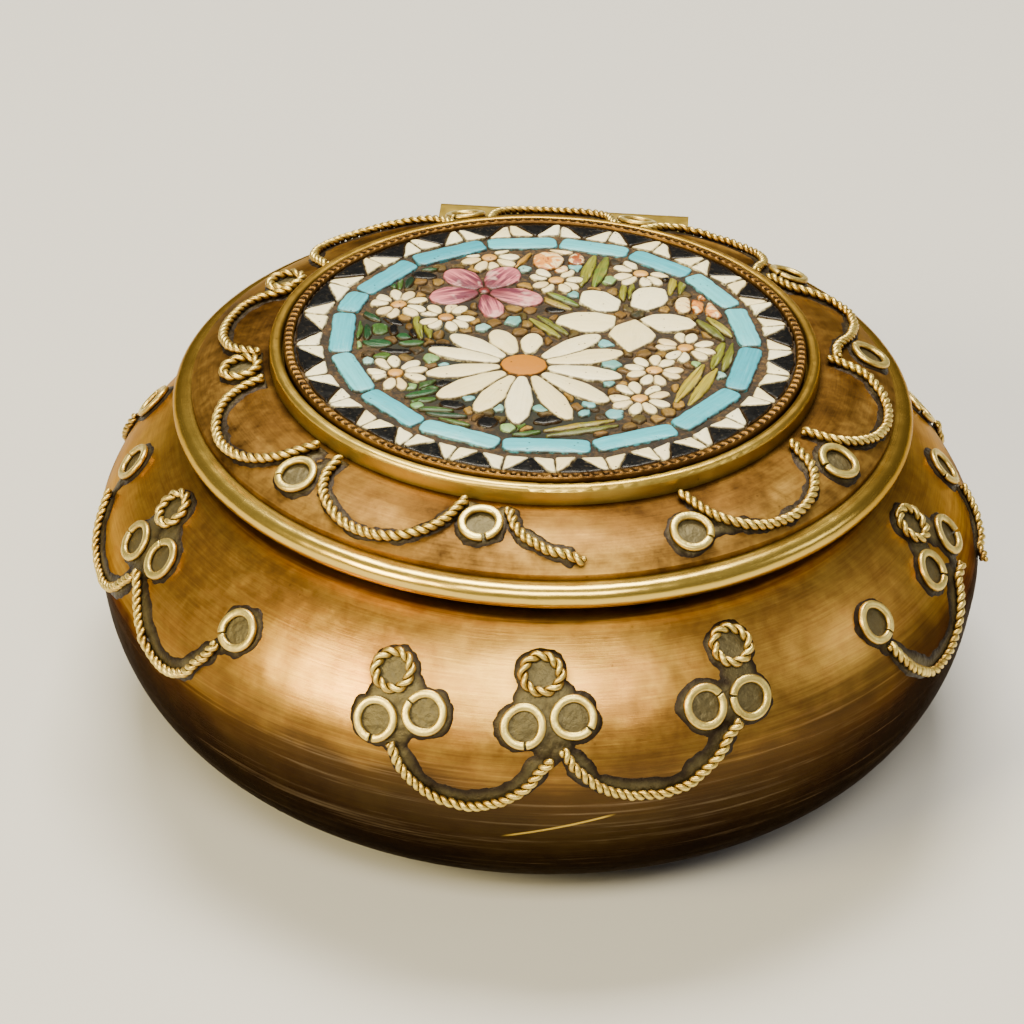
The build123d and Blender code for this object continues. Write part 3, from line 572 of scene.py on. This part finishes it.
def glass_look(name, colours, roughness, streaks=0.0, pits=0.35, extra=None, shine=0.5):
    """Opaque glass, each tessera in one of the colours, streaked lengthwise, with a dirty edge and pin holes."""
    look = Look(name)
    spread = [(k / (len(colours) - 1), colour) for k, colour in enumerate(colours)]
    look.colour = look.ramp(look.sway(look.number("seed"), look.noise(1.6, 3), 0.25), spread)
    if streaks:
        line = look.noise(1.0, 3, 0.6, where=look.lane(9, 1.6, 40))
        look.tint(look.span(line, 0.42, 0.7, 0.0, streaks), (0.45, 0.45, 0.42))
        look.tint(look.span(line, 0.28, 0.42, streaks * 0.5, 0.0), (0.35, 0.35, 0.35), "ADD")
    if extra is not None:
        extra(look)
    edge = look.span(look.number("inner"), 0.0, 0.6, 0.95, 0.0)
    edge = look.times(edge, look.span(look.noise(2.4, 3), 0.3, 0.55, 0.35, 1.0))
    look.paint(edge, (50, 35, 16))
    holes = look.times(look.span(look.cells(2.1), 0.06, 0.12, 1, 0), look.span(look.noise(0.9, 2), 0.43, 0.5))
    look.paint(look.times(holes, pits * 2.4, True), (46, 36, 24))
    dust = look.times(look.span(look.noise(5.0, 4, 0.7), 0.56, 0.75), 0.18)
    look.paint(dust, (150, 134, 104))
    dull = look.add(look.times(look.noise(2.6, 3), 0.25), roughness - 0.06)
    height = look.less(look.noise(1.9, 3), look.times(holes, 1.2))
    look.shader.inputs["Specular IOR Level"].default_value = shine
    return look.finish(0.0, dull, look.bump(height, 0.05, 0.6))


def pink_veins(look):
    """Darker veins that start at the flower's centre, and pale rims."""
    along = look.number("along")
    lane = look.lane(5, 0.9, 30)
    vein = look.times(look.span(look.noise(1.3, 3, 0.6, where=lane), 0.44, 0.54), look.span(along, 0.5, 1.0, 1, 0.25))
    look.paint(look.times(vein, 0.95), (92, 32, 56))
    heart = look.sway(along, look.noise(0.8, 2, where=lane), -0.9)
    look.paint(look.span(heart, 0.2, 0.6, 0.85, 0), (96, 28, 44))
    look.paint(look.span(look.noise(1.3, 2), 0.54, 0.7, 0.0, 0.5), (236, 200, 190))


def rose_swirl(look):
    """Cream and red-brown swirls drawn through the peach."""
    swirl = look.noise(0.8, 3, 0.6, 2.4)
    look.paint(look.span(swirl, 0.5, 0.58, 0, 0.9), (250, 224, 168))
    look.paint(look.span(swirl, 0.38, 0.46, 0.85, 0), (146, 68, 24))


GRASS_TUFTS = ((-6.6, 0.6, 2.6), (-4.2, -4.6, 2.4), (0.5, -7.2, 2.6))  # x, y and reach


def cement_look(glass_top):
    """Golden-brown cement, stained dark green where the grass is."""
    look = Look("cement")
    grain = look.noise(3.4, 5, 0.72)
    patch = look.noise(0.5, 3, 0.6)
    look.colour = look.ramp(look.add(look.times(grain, 0.6), look.times(patch, 0.4)), CEMENT_TONES)
    holes = look.span(look.cells(2.6), 0.05, 0.14, 1, 0)
    look.paint(look.times(holes, 0.8), (30, 22, 14))
    for x, y, reach in GRASS_TUFTS:
        far = look.vector("SUBTRACT", look.place, (x, y, glass_top))
        far = look.math("SQRT", look.vector("DOT_PRODUCT", far, far))
        stain = look.span(look.add(far, patch), reach, reach + 1.2, 0.85, 0.0)
        look.paint(stain, (12, 22, 12))
    height = look.less(grain, look.times(holes, 0.8))
    return look.finish(0.0, 0.82, look.bump(height, 0.1, 0.9))


WIRE = wire_look()
SOLDER = solder_look()
HINGE = plain_metal("gilt_hinge_brass", RIM_TONES, roughness=0.33, brush=0.5, crevice_reach=0.4, grain=0.6)
CAD_LOOKS = {
    "body_bowl": body_look(),
    "mouth_collar": plain_metal("gilt_collar", LID_TONES, roughness=0.36, brush=0.4, crevice_reach=0.4, grain=0.5),
    "body_hinge_leaf": HINGE,
    "lid_shell": lid_look(),
    "lid_rim": rim_look(),
    "lid_knuckles": HINGE,
    "hinge_pin": plain_metal("brass_pin_wire", RIM_TONES, roughness=0.3, brush=0.3, crevice_reach=0.3, grain=0.5),
    "mosaic_tray": tray_look(),
}
for name, material in CAD_LOOKS.items():
    nodes[name].data.materials.clear()
    nodes[name].data.materials.append(material)

# ---- the surfaces that wires are soldered to


class Turned:
    """Outside of a turned CAD part as a line of (radius, height), with a place and normal at any angle."""

    def __init__(self, node, low, high, by_height):
        mesh = nodes[node].data
        points = np.array([v.co for v in mesh.vertices]) / MM
        normals = np.array([n.vector for n in mesh.vertex_normals])
        radius = np.hypot(points[:, 0], points[:, 1])
        out = (normals[:, :2] * points[:, :2]).sum(1) / np.maximum(radius, 1e-6)
        key = points[:, 2] if by_height else radius
        other = radius if by_height else points[:, 2]
        facing = out if by_height else normals[:, 2]
        chosen = (facing > 0.15) & (key > low) & (key < high)
        keys = np.round(key[chosen], 2)
        self.keys = np.unique(keys)
        self.others = np.array([other[chosen][keys == k].max() for k in self.keys])
        self.by_height = by_height

    def seat(self, angle, key, lift=0.0):
        """Places and normals at angles (radians from the front) and heights or radii, lifted off the surface."""
        other = np.interp(key, self.keys, self.others)
        slope = (np.interp(key + 0.15, self.keys, self.others) - np.interp(key - 0.15, self.keys, self.others)) / 0.3
        size = np.sqrt(1 + slope**2)
        if self.by_height:
            radius, height, nr, nz = other, key, 1 / size, -slope / size
        else:
            radius, height, nr, nz = key, other, -slope / size, 1 / size
        normal = np.stack([nr * np.sin(angle), -nr * np.cos(angle), nz + 0 * angle], axis=-1)
        place = np.stack([radius * np.sin(angle), -radius * np.cos(angle), height + 0 * angle], axis=-1)
        return place + normal * np.asarray(lift)[..., None], normal

    def under(self, points):
        """Places and normals of the surface under the given points."""
        angle = np.arctan2(points[:, 0], -points[:, 1])
        return self.seat(angle, points[:, 2] if self.by_height else np.hypot(points[:, 0], points[:, 1]))

    def lift_of(self, points):
        """Height of points above the surface, along its normals."""
        seat, normal = self.under(points)
        return ((points - seat) * normal).sum(1)[:, None]


bowl = Turned("body_bowl", 6.5, 15.6, True)
dome = Turned("lid_shell", 13.2, 17.6, False)

# ---- wires and rings

ROPE_PITCH = 0.84
ROPE_STEP = 0.075
ROPE_RUN_ON = 0.3  # how far the ropes run on past the CAD wires, to meet the rings
RING_ROPE_PITCH = 1.08
RING_WIRE = 0.2
RING_SIDES = 14
RING_STEPS = 72


def ropes(name, node, surface, body):
    """Twisted two-strand rope along each wire of a CAD node. Returns the middle lines."""
    pile = Pile()
    lines = []
    for points, triangles in islands(node):
        middle = centre_line(points, triangles)
        ends = []
        for tip, before in ((middle[0], middle[1]), (middle[-1], middle[-2])):
            beyond = (tip + (tip - before) / np.linalg.norm(tip - before) * ROPE_RUN_ON)[None]
            sunk = surface.lift_of(tip[None]) - surface.lift_of(beyond)
            ends.append(beyond + sunk * surface.under(beyond)[1])
        line = resample(np.vstack([ends[0], middle, ends[1]]), ROPE_STEP)
        twisted(pile, line, surface.under(line)[1], ROPE_PITCH, worn=0.14)
        lines.append(line)
    pile.make(name, WIRE, body, (node,))
    return lines


def wire_rings(name, node, surface, body, twist):
    """Rings of plain wire with a soldered joint, or of twisted wire. Returns (centre, radius) of each."""
    pile = Pile()
    rings = []
    for points, _ in islands(node):
        centre, normal, radius = ring_of(points)
        if normal @ surface.under(centre[None])[1][0] < 0:
            normal = -normal
        across = np.cross(normal, (0, 0, 1.0))
        across /= np.linalg.norm(across)
        up = np.cross(normal, across)
        opening = 0.0 if twist else random.choice((0.015, 0.02, 0.03, 0.08))
        start = random.uniform(0, TURN)
        turns = np.linspace(0, TURN - opening, RING_STEPS, endpoint=False) + start
        oval = 0.018 * np.sin(2 * turns + random.uniform(0, 6))
        reach = radius * (1 + oval + 0.012 * np.sin(3 * turns + random.uniform(0, 6)))
        line = centre + (np.cos(turns) * reach)[:, None] * across + (np.sin(turns) * reach)[:, None] * up
        line = line + normal * (0.015 * np.sin(turns * 2 + start))[:, None]
        ups = np.repeat(normal[None], RING_STEPS, 0)
        if twist:
            twisted(pile, line, ups, RING_ROPE_PITCH, worn=0.1, closed=True)
        else:
            tubes, faces = tube(line, ups, np.full(RING_STEPS, RING_WIRE), RING_SIDES)
            high = (tubes - np.repeat(line, RING_SIDES, 0)) @ normal / RING_WIRE
            worn_off = np.minimum(high, 0.78) - high
            tubes = tubes + (worn_off * RING_WIRE)[:, None] * normal
            pile.add(tubes, faces, high=high * 1.15, seed=random.random())
        rings.append((centre, radius))
    pile.make(name, WIRE, body, (node,))
    return rings


body_lines = ropes("scroll_ropes", "body_scroll_wires", bowl, "box")
lid_lines = ropes("scallop_ropes", "lid_scallop_wires", dome, "lid")
stub_lines = ropes("broken_scallop_rope", "broken_scallop_wire", dome, "lid")
body_rings = wire_rings("body_rings", "body_plain_rings", bowl, "box", False)
body_twisted = wire_rings("body_rope_rings", "body_twisted_rings", bowl, "box", True)
lid_rings = wire_rings("lid_rings", "lid_plain_rings", dome, "lid", False)
lid_twisted = wire_rings("lid_rope_rings", "lid_twisted_rings", dome, "lid", True)

# ---- solder


def solder_spots(surface, rings, lines, width, bias, reach, smears):
    """Round spots of solder, each (place, size), on the rings, between them, along the ropes and at their ends."""
    spots = [(centre, radius + reach) for centre, radius in rings]
    for (first, _), (second, _) in itertools.combinations(rings, 2):
        if np.linalg.norm(first - second) < 3.0:
            spots.append(((first + second) / 2, 0.95))
    for line in lines:
        inward = unit(np.cross(np.gradient(line, axis=0), surface.under(line)[1]))
        inward *= np.sign(((line.mean(0) - line) * inward).sum(1))[:, None]
        for k in range(0, len(line), 3):
            fade = min(1.0, k / 12, (len(line) - k) / 12) * 0.6 + 0.4
            shift = bias * (0.6 + 0.8 * noise.noise(Vector(line[k]) * 0.55))
            spots.append((line[k] + inward[k] * shift, width * fade))
        for end in (line[0], line[-1]):
            for centre, _ in rings:
                if np.linalg.norm(centre - end) < 2.3:
                    spots += [(end + (centre - end) * share, 0.55) for share in (0.0, 0.25, 0.5)]
    for angle, key, size in smears:
        spots.append((surface.seat(np.array([math.radians(angle)]), np.array([key]))[0][0], size))
    return spots


def solder_skin(name, surface, body, low, high, thickness, spots):
    """Film of solder over the spots, between two heights or radii, with a soft uneven edge."""
    tree = KDTree(len(spots))
    for i, (place, _) in enumerate(spots):
        tree.insert(place, i)
    tree.balance()
    sizes = np.array([size for _, size in spots])
    around_count = 1250
    key_count = int((high - low) / 0.11) + 1
    angles = np.linspace(-math.pi, math.pi, around_count, endpoint=False)
    grid_angle, grid_key = np.meshgrid(angles, np.linspace(low, high, key_count), indexing="ij")
    grid_angle, grid_key = grid_angle.ravel(), grid_key.ravel()
    seats, _ = surface.seat(grid_angle, grid_key)
    short = np.full(len(seats), 9.0)
    for i, seat in enumerate(seats):
        for _, j, far in tree.find_range(seat, sizes.max() + 0.5):
            short[i] = min(short[i], far - sizes[j])
    ragged = np.zeros(len(seats))
    for i in np.nonzero(short < 0.45)[0]:
        place = Vector(seats[i])
        ragged[i] = 0.2 * noise.noise(place * 0.9) + 0.11 * noise.noise(place * 2.3) + 0.03 * noise.noise(place * 6.0)
    depth = -(short + ragged)
    lumps = np.zeros(len(seats))
    for i in np.nonzero(depth > 0.05)[0]:
        lumps[i] = 0.03 * noise.noise(Vector(seats[i]) * 2.6)
    lift = np.where(depth > 0, thickness * (1 - np.exp(-depth / 0.13)), depth * 0.5)
    raised, _ = surface.seat(grid_angle, grid_key, np.clip(lift + lumps, -0.12, None))
    index = np.arange(around_count * key_count).reshape(around_count, key_count)
    quads = grid_quads(index, np.roll(index, -1, 0))
    used, local = used_only(quads[(depth[quads] > -0.1).any(1)])
    if not surface.by_height:
        local = local[:, ::-1]
    # a thin underside inside the sheet closes the film
    buried = np.full(len(used), -0.2)
    under, _ = surface.seat(grid_angle[used], grid_key[used], buried)
    values = {"depth": np.concatenate([depth[used], buried])}
    points = np.vstack([raised[used], under])
    new_mesh(name, points, film_faces(local, len(used)), SOLDER, body, values=values)


# a smear where the front scallop has come away: angle in degrees, radius and size
LID_SMEAR = [(angle, 16.6, 0.34) for angle in np.arange(31, 38.5, 0.75)]
solder_skin("body_solder", bowl, "box", 7.6, 15.4, 0.085,
            solder_spots(bowl, body_rings + body_twisted, body_lines, width=0.62, bias=0.3, reach=0.42, smears=()))
solder_skin("lid_solder", dome, "lid", 14.05, 17.5, 0.07,
            solder_spots(dome, lid_rings + lid_twisted, lid_lines + stub_lines, width=0.46, bias=0.12, reach=0.4,
                         smears=LID_SMEAR))

# ---- glass


def top_outline(points, triangles):
    """Corners of a prism's top face, in order, and the face's height."""
    top = points[:, 2].max()
    step = dict(open_edges(triangles[(points[triangles][:, :, 2] > top - 0.01).all(1)]))
    best = []
    while step:
        start = next(iter(step))
        loop = [start]
        here = step.pop(start)
        while here != start and here in step:
            loop.append(here)
            here = step.pop(here)
        if len(loop) > len(best):
            best = loop
    return points[best][:, :2], top


def softened(outline, passes):
    """Outline with its corners worn round."""
    for _ in range(passes):
        outline = 0.5 * outline + 0.25 * (np.roll(outline, 1, 0) + np.roll(outline, -1, 0))
    return outline


def evenly(corners, step):
    """Outline points at an even step."""
    closed = np.vstack([corners, corners[:1]])
    along = length_along(closed)
    places = np.linspace(0, along[-1], max(14, int(along[-1] / step)), endpoint=False)
    return np.stack([np.interp(places, along, closed[:, k]) for k in range(2)], axis=1)


def room_inside(outline, inward):
    """Distance from each outline point, straight in, to the far side."""
    room = np.full(len(outline), 9.0)
    run = np.roll(outline, -1, 0) - outline
    for i, (place, way) in enumerate(zip(outline, inward)):
        cross = way[0] * run[:, 1] - way[1] * run[:, 0]
        with np.errstate(divide="ignore", invalid="ignore"):
            gap = outline - place
            reach = (gap[:, 0] * run[:, 1] - gap[:, 1] * run[:, 0]) / cross
            share = (gap[:, 0] * way[1] - gap[:, 1] * way[0]) / cross
        hits = reach[(np.abs(cross) > 1e-9) & (share >= 0) & (share <= 1) & (reach > 1e-3)]
        if len(hits):
            room[i] = hits.min()
    return room


def tessera_outline(corners, number, worn, ragged, grow):
    """Outline of a tessera, running anticlockwise, and the way in from each of its points."""
    outline = softened(evenly(corners, 0.1), worn)
    if np.cross(outline, np.roll(outline, -1, 0)).sum() < 0:
        outline = outline[::-1]
    outline = outline.copy()
    for i, place in enumerate(outline):
        spot = Vector((place[0] * 2.2, place[1] * 2.2, number * 3.1))
        push = ragged * noise.noise(spot)
        spin = ragged * noise.noise(Vector((spot.x, spot.y, number * 3.1 + 50)))
        outline[i] = place + np.array((push, spin))
    ahead = np.roll(outline, -1, 0) - np.roll(outline, 1, 0)
    inward = np.stack([-ahead[:, 1], ahead[:, 0]], axis=1)
    inward /= np.maximum(np.linalg.norm(inward, axis=1), 1e-9)[:, None]
    return outline - inward * grow, inward


# how far in from the outline, how far below the face, and the mark "inner", of the rows up a tessera's edge
EDGE_ROWS = ((0.0, 0.42, 0.0), (0.0, 0.11, 0.0), (0.02, 0.05, 0.0), (0.055, 0.015, 0.25), (0.11, 0.0, 0.6))
tessera_numbers = itertools.count(1)


def tesserae(name, node, material, slot, worn=1, swell=0.05, uneven=0.03, centre=None, ragged=0.02, grow=0.05,
             seeds=None):
    """Pillowed, slightly tilted glass pieces with soft edges, on the outlines of a CAD node's prisms."""
    pile = Pile()
    for points, triangles in islands(node):
        corners, top = top_outline(points, triangles)
        outline, inward = tessera_outline(corners, next(tessera_numbers), worn, ragged, grow)
        room = room_inside(outline, inward)
        middle = outline.mean(0)
        count = len(outline)
        rows = []
        levels = []
        marks = []
        for inset, drop, mark in EDGE_ROWS:
            rows.append(outline + inward * np.minimum(inset, room * 0.3 * inset / EDGE_ROWS[-1][0])[:, None])
            levels.append(np.full(count, -drop))
            marks.append(np.full(count, mark))
        ridge = rows[-1]
        for scale in (0.66, 0.33):
            rows.append(middle + (ridge - middle) * scale)
            levels.append(np.full(count, swell * (1 - scale**2)))
            marks.append(np.ones(count))
        flat = np.vstack(rows + [middle[None]])
        height = np.concatenate(levels + [[swell]])
        tilt = rng.normal(0, 0.012, 2)
        raise_by = rng.uniform(-uneven, uneven)
        span = np.ptp(outline, axis=0).max()
        lean = (flat - middle) @ tilt * min(1.0, 2.0 / span)
        z = top + height + np.where(height > -0.4, lean + raise_by, 0)
        last = (len(rows) - 1) * count
        faces = band_faces(len(rows), count)
        faces += [[last + k, last + (k + 1) % count, len(flat) - 1] for k in range(count)]
        faces.append(list(range(count - 1, -1, -1)))
        if centre is not None:
            way = middle - centre
            way /= max(np.linalg.norm(way), 1e-9)
            along = (flat - centre) @ way
            along /= max(along.max(), 1e-9)
        else:
            _, axes = np.linalg.eigh(np.cov((outline - middle).T))
            way = axes[:, 1]
            along = (flat - middle) @ way / max(span, 1e-9) + 0.5
        across = (flat - middle) @ np.array((-way[1], way[0]))
        seed = random.random() if seeds is None else seeds(middle)
        pile.add(np.column_stack([flat, z]), faces, seed=seed, inner=np.concatenate(marks + [[1.0]]), along=along,
                 across=across)
    pile.make(name, material, "lid", (node,))


# the numbers after the colours are the roughness, the streaks and the pits
IVORY = ((255, 240, 184), (255, 248, 206), (246, 226, 166), (255, 250, 214))
WHITE = glass_look("ivory_glass", IVORY, 0.3, 0.18)
CREAM = glass_look("cream_glass", ((248, 226, 166), (255, 244, 196), (232, 204, 140)), 0.32, 0.2, 0.5)
TEETH = glass_look("border_white_glass", IVORY, 0.34, 0.15, 0.9)
BLACK = glass_look("black_glass", ((2, 2, 2), (8, 7, 7), (4, 5, 6)), 0.22, pits=0.3, shine=0.25)
BLUE = glass_look("turquoise_glass", ((46, 158, 184), (70, 182, 204), (96, 198, 214)), 0.28, 0.35)
SKY = glass_look("pale_turquoise_glass", ((66, 146, 158), (110, 184, 192), (96, 158, 146), (150, 200, 196)),
                 0.3, 0.25, 0.5)
MINT = glass_look("pale_green_glass", ((98, 146, 84), (142, 182, 112), (84, 124, 70)), 0.3, 0.3, 0.5)
ORANGE = glass_look("orange_glass", ((170, 104, 0), (182, 116, 0)), 0.5, pits=0.9, shine=0.2)
PINK = glass_look("pink_glass", ((214, 126, 130), (200, 106, 120), (226, 146, 142)), 0.34, pits=0.2,
                  extra=pink_veins)
MAROON = glass_look("maroon_glass", ((84, 16, 22), (104, 26, 26)), 0.3)
PEACH = glass_look("peach_glass", ((255, 226, 160), (224, 144, 48), (196, 104, 24), (132, 60, 16)),
                   0.3, 0.2, 0.3, extra=rose_swirl)
OCHRE = glass_look("ochre_glass", ((196, 138, 48), (216, 162, 66), (170, 114, 38)), 0.34, pits=0.6)
LEAF = glass_look("leaf_glass", ((72, 80, 14), (124, 128, 24), (164, 150, 34), (188, 132, 28), (92, 122, 34)),
                  0.34, 0.85, 0.5)
GRASS = glass_look("dark_green_glass", ((10, 40, 20), (26, 78, 38), (66, 96, 30), (12, 48, 34)),
                   0.3, 0.7, 0.3, shine=0.3)
OLIVE = glass_look("packing_glass", ((34, 28, 8), (112, 80, 22), (70, 60, 18), (160, 122, 44), (30, 34, 12)),
                   0.5, 0.5, 0.7, shine=0.25)


def middle_of(node):
    low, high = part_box(node)
    centre = (low + high) / 2 / MM
    return np.array((centre.x, centre.y))


def rose_tone(place):
    """Cream, peach or red-brown for a rose piece: the outer crescents are pale and the right-hand ones dark."""
    x, y = place
    if 6 < x < 7.15 or y > 9.3:
        return 0.02
    if 0.7 < x < 3:
        return 0.9
    return 0.36 + 0.3 * noise.noise(Vector((x * 3, y * 3, 0)))


# the order stays, because each tessera draws random numbers
for piece, node, glass, slot, shape in (
    ("border_bars", "turquoise_border", BLUE, "turquoise_glass", dict(worn=3, swell=0.06, ragged=0.05, grow=0.04)),
    ("border_slivers", "white_border_slivers", TEETH, "white_glass", dict(swell=0.02, uneven=0.04, ragged=0.04)),
    ("border_wedges", "black_border_wedges", BLACK, "black_glass", dict(swell=0.01, ragged=0.05, grow=0.06)),
    ("flower_white", "white_flower", WHITE, "white_glass", dict(worn=2, uneven=0.02)),
    ("daisy_rays", "daisy_petals", WHITE, "white_glass", dict(worn=3, uneven=0.02, centre=middle_of("daisy_centre"))),
    ("daisy_eye", "daisy_centre", ORANGE, "orange_glass", dict(worn=3, swell=0.07, uneven=0.0)),
    ("pink_rays", "pink_flower_petals", PINK, "pink_glass",
     dict(worn=3, uneven=0.02, centre=middle_of("pink_flower_centre"))),
    ("pink_eye", "pink_flower_centre", MAROON, "maroon_glass", dict(worn=2, uneven=0.0)),
    ("roses", "rose_petals", PEACH, "peach_glass", dict(worn=3, swell=0.06, seeds=rose_tone)),
    ("small_daisy_rays", "small_daisy_petals", CREAM, "white_glass", dict(swell=0.04, ragged=0.04, grow=0.07)),
    ("small_daisy_eyes", "small_daisy_centres", OCHRE, "ochre_glass", dict(worn=3, uneven=0.02, ragged=0.05)),
    ("leaves", "leaf_slivers", LEAF, "leaf_glass", dict(swell=0.03, uneven=0.04, ragged=0.04)),
    ("grass", "grass_blades", GRASS, "green_glass", dict(swell=0.02, uneven=0.04, ragged=0.05)),
    ("blue_chips", "turquoise_chips", SKY, "pale_turquoise_glass", dict(swell=0.03, uneven=0.04, ragged=0.1)),
    ("mint_chips", "green_chips", MINT, "pale_green_glass", dict(swell=0.03, uneven=0.04, ragged=0.1)),
    ("dark_chips", "black_chips", BLACK, "black_glass", dict(swell=0.02, ragged=0.1)),
    ("ground_chips", "packing_chips", OLIVE, "olive_glass", dict(swell=0.02, uneven=0.05, ragged=0.12)),
):
    tesserae(piece, node, glass, slot, **shape)

# ---- cement and milled strip

glass_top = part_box("daisy_petals")[1].z / MM
bed_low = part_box("mosaic_bed")[0].z / MM
bed_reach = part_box("mosaic_bed")[1].x / MM


def cement_bed(step=0.14):
    """Cement pressed up between the tesserae, uneven and a little below their faces."""
    half = int(bed_reach / step) + 1
    lines = np.arange(-half, half + 1) * step
    x, y = np.meshgrid(lines, lines, indexing="ij")
    flat = np.column_stack([x.ravel(), y.ravel()])
    height = []
    for place in flat:
        spot = Vector((place[0], place[1], 0))
        height.append(0.05 * noise.noise(spot * 0.8) + 0.045 * noise.noise(spot * 2.7))
    height = glass_top - 0.12 + np.array(height)
    index = np.arange(len(flat)).reshape(len(lines), len(lines))
    quads = grid_quads(index[:-1], index[1:])
    inside = np.hypot(*flat.T) < bed_reach + 0.08
    used, local = used_only(quads[inside[quads].all(1)])
    upper = np.column_stack([flat[used], height[used]])
    lower = np.column_stack([flat[used], np.full(len(used), bed_low + 0.02)])
    new_mesh("cement", np.vstack([upper, lower]), film_faces(local, len(used)), cement_look(glass_top), "lid",
             ("mosaic_bed",))


def milled(teeth=166, per_tooth=8, depth=0.12):
    """Strip that holds the mosaic, with a row of square dents along its top edge."""
    low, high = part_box("milled_strip")
    bottom, top, outer = low.z / MM, high.z / MM, high.x / MM
    inner = bed_reach + 0.02
    # radius and height of each point of the cross-section, and its share of a dent
    section = ((inner, bottom, 0), (inner, top - 0.12, 0), (inner + 0.06, top - 0.03, 0), (inner + 0.13, top, 0.5),
               (inner + 0.25, top, 1), (inner + 0.37, top, 0.8), (outer - 0.06, top - 0.03, 0), (outer, top - 0.12, 0),
               (outer, bottom, 0))
    rows = teeth * per_tooth
    points = []
    marks = []
    for row in range(rows):
        turn = TURN * row / rows
        share = (row % per_tooth) / per_tooth
        pressed = 0.7 + 0.6 * noise.noise(Vector((row // per_tooth * 1.7, 0, 0)))
        dent = min(1.0, max(0.0, 1.9 - abs(share - 0.5) * 5.0)) * pressed
        sway = 0.02 * noise.noise(Vector((math.cos(turn) * 5, math.sin(turn) * 5, 2)))
        for radius, height, weight in section:
            reach = radius + sway
            points.append((reach * math.sin(turn), -reach * math.cos(turn), height - depth * dent * weight))
            marks.append(dent * weight)
    look = turned_metal("gilt_milled_strip", STRIP_TONES, roughness=0.42, brush=0.5, crevice_reach=0.3, grain=0.8)
    look.paint(look.span(look.number("dent"), 0.1, 0.7, 0, 0.95), DARK)
    material = look.finish(0.92, look.dull, look.relief)
    new_mesh("milled_edge", points, band_faces(rows, len(section), closed=True), material, "lid",
             ("milled_strip",), {"dent": marks})


cement_bed()
milled()

# ---- floor, light and camera (in metres)


def floor():
    """Pale paper just under the foot, clear of its face."""
    bpy.ops.mesh.primitive_plane_add(size=3.0, location=(0, 0, -0.00004))
    plane = bpy.context.object
    plane.name = "floor"
    paper = bpy.data.materials.new("paper")
    paper.use_nodes = True
    shader = paper.node_tree.nodes["Principled BSDF"]
    shader.inputs["Base Color"].default_value = (0.62, 0.61, 0.6, 1)
    shader.inputs["Roughness"].default_value = 0.8
    plane.data.materials.append(paper)


# name, place, size, power in watts, colour
SOFTBOXES = (
    ("key", (-0.22, -0.22, 0.2), (0.12, 0.1), 1.5, (1.0, 0.83, 0.42)),
    ("front", (0.02, -0.24, 0.30), (0.22, 0.1), 1.3, (1.0, 0.92, 0.72)),
    ("top", (-0.02, 0.12, 0.34), (0.2, 0.14), 2.3, (1.0, 0.94, 0.8)),
    ("fill", (0.32, 0.0, 0.16), (0.08, 0.1), 0.1, (1.0, 0.97, 0.92)),
)


def studio():
    """Dim warm-white surroundings, and soft boxes turned to the middle of the box."""
    world = bpy.data.worlds.new("studio")
    bpy.context.scene.world = world
    world.use_nodes = True
    background = world.node_tree.nodes["Background"]
    background.inputs["Color"].default_value = (1.0, 0.97, 0.93, 1)
    background.inputs["Strength"].default_value = 0.14
    for name, place, size, power, colour in SOFTBOXES:
        light = bpy.data.lights.new(name, "AREA")
        light.shape = "RECTANGLE"
        light.size, light.size_y = size
        light.energy = power
        light.color = colour
        holder = bpy.data.objects.new(name, light)
        holder.location = place
        holder.rotation_euler = (Vector((0, 0, 0.01)) - Vector(place)).to_track_quat("-Z", "Y").to_euler()
        bpy.context.scene.collection.objects.link(holder)


def camera():
    """Camera above and in front, with a slight roll, set on the box's middle."""
    elevation, azimuth, roll = math.radians(33.05), math.radians(2.4), math.radians(-2.01)
    image, sensor = 1024, 36
    distance, lens_pixels = 0.171, 3310.4
    middle = np.array((0, 0, 0.009))
    middle_seen = (538.4, 532.8)  # where the middle lies in the picture, in pixels
    aim = ((middle_seen[0] - image / 2) / lens_pixels, (image / 2 - middle_seen[1]) / lens_pixels, 1.0)
    right = np.array((math.cos(azimuth), math.sin(azimuth), 0))
    level = np.array((-math.sin(azimuth), math.cos(azimuth), 0)) * math.cos(elevation)
    ahead = level - (0, 0, math.sin(elevation))
    up = np.cross(right, ahead)
    spin = np.array(((math.cos(roll), -math.sin(roll), 0), (math.sin(roll), math.cos(roll), 0), (0, 0, 1)))
    turn = np.array(Vector((0, 0, 1)).rotation_difference(Vector(aim)).to_matrix())
    rows = turn @ spin @ np.stack([right, up, ahead])
    data = bpy.data.cameras.new("camera")
    data.lens = lens_pixels / image * sensor
    data.sensor_width = sensor
    data.clip_start, data.clip_end = 0.01, 10
    holder = bpy.data.objects.new("camera", data)
    pose = np.column_stack([rows[0], rows[1], -rows[2], middle - ahead * distance])
    holder.matrix_world = Matrix([*pose.tolist(), (0, 0, 0, 1)])
    bpy.context.scene.collection.objects.link(holder)
    bpy.context.scene.camera = holder


floor()
studio()
camera()

bpy.context.view_layer.update()
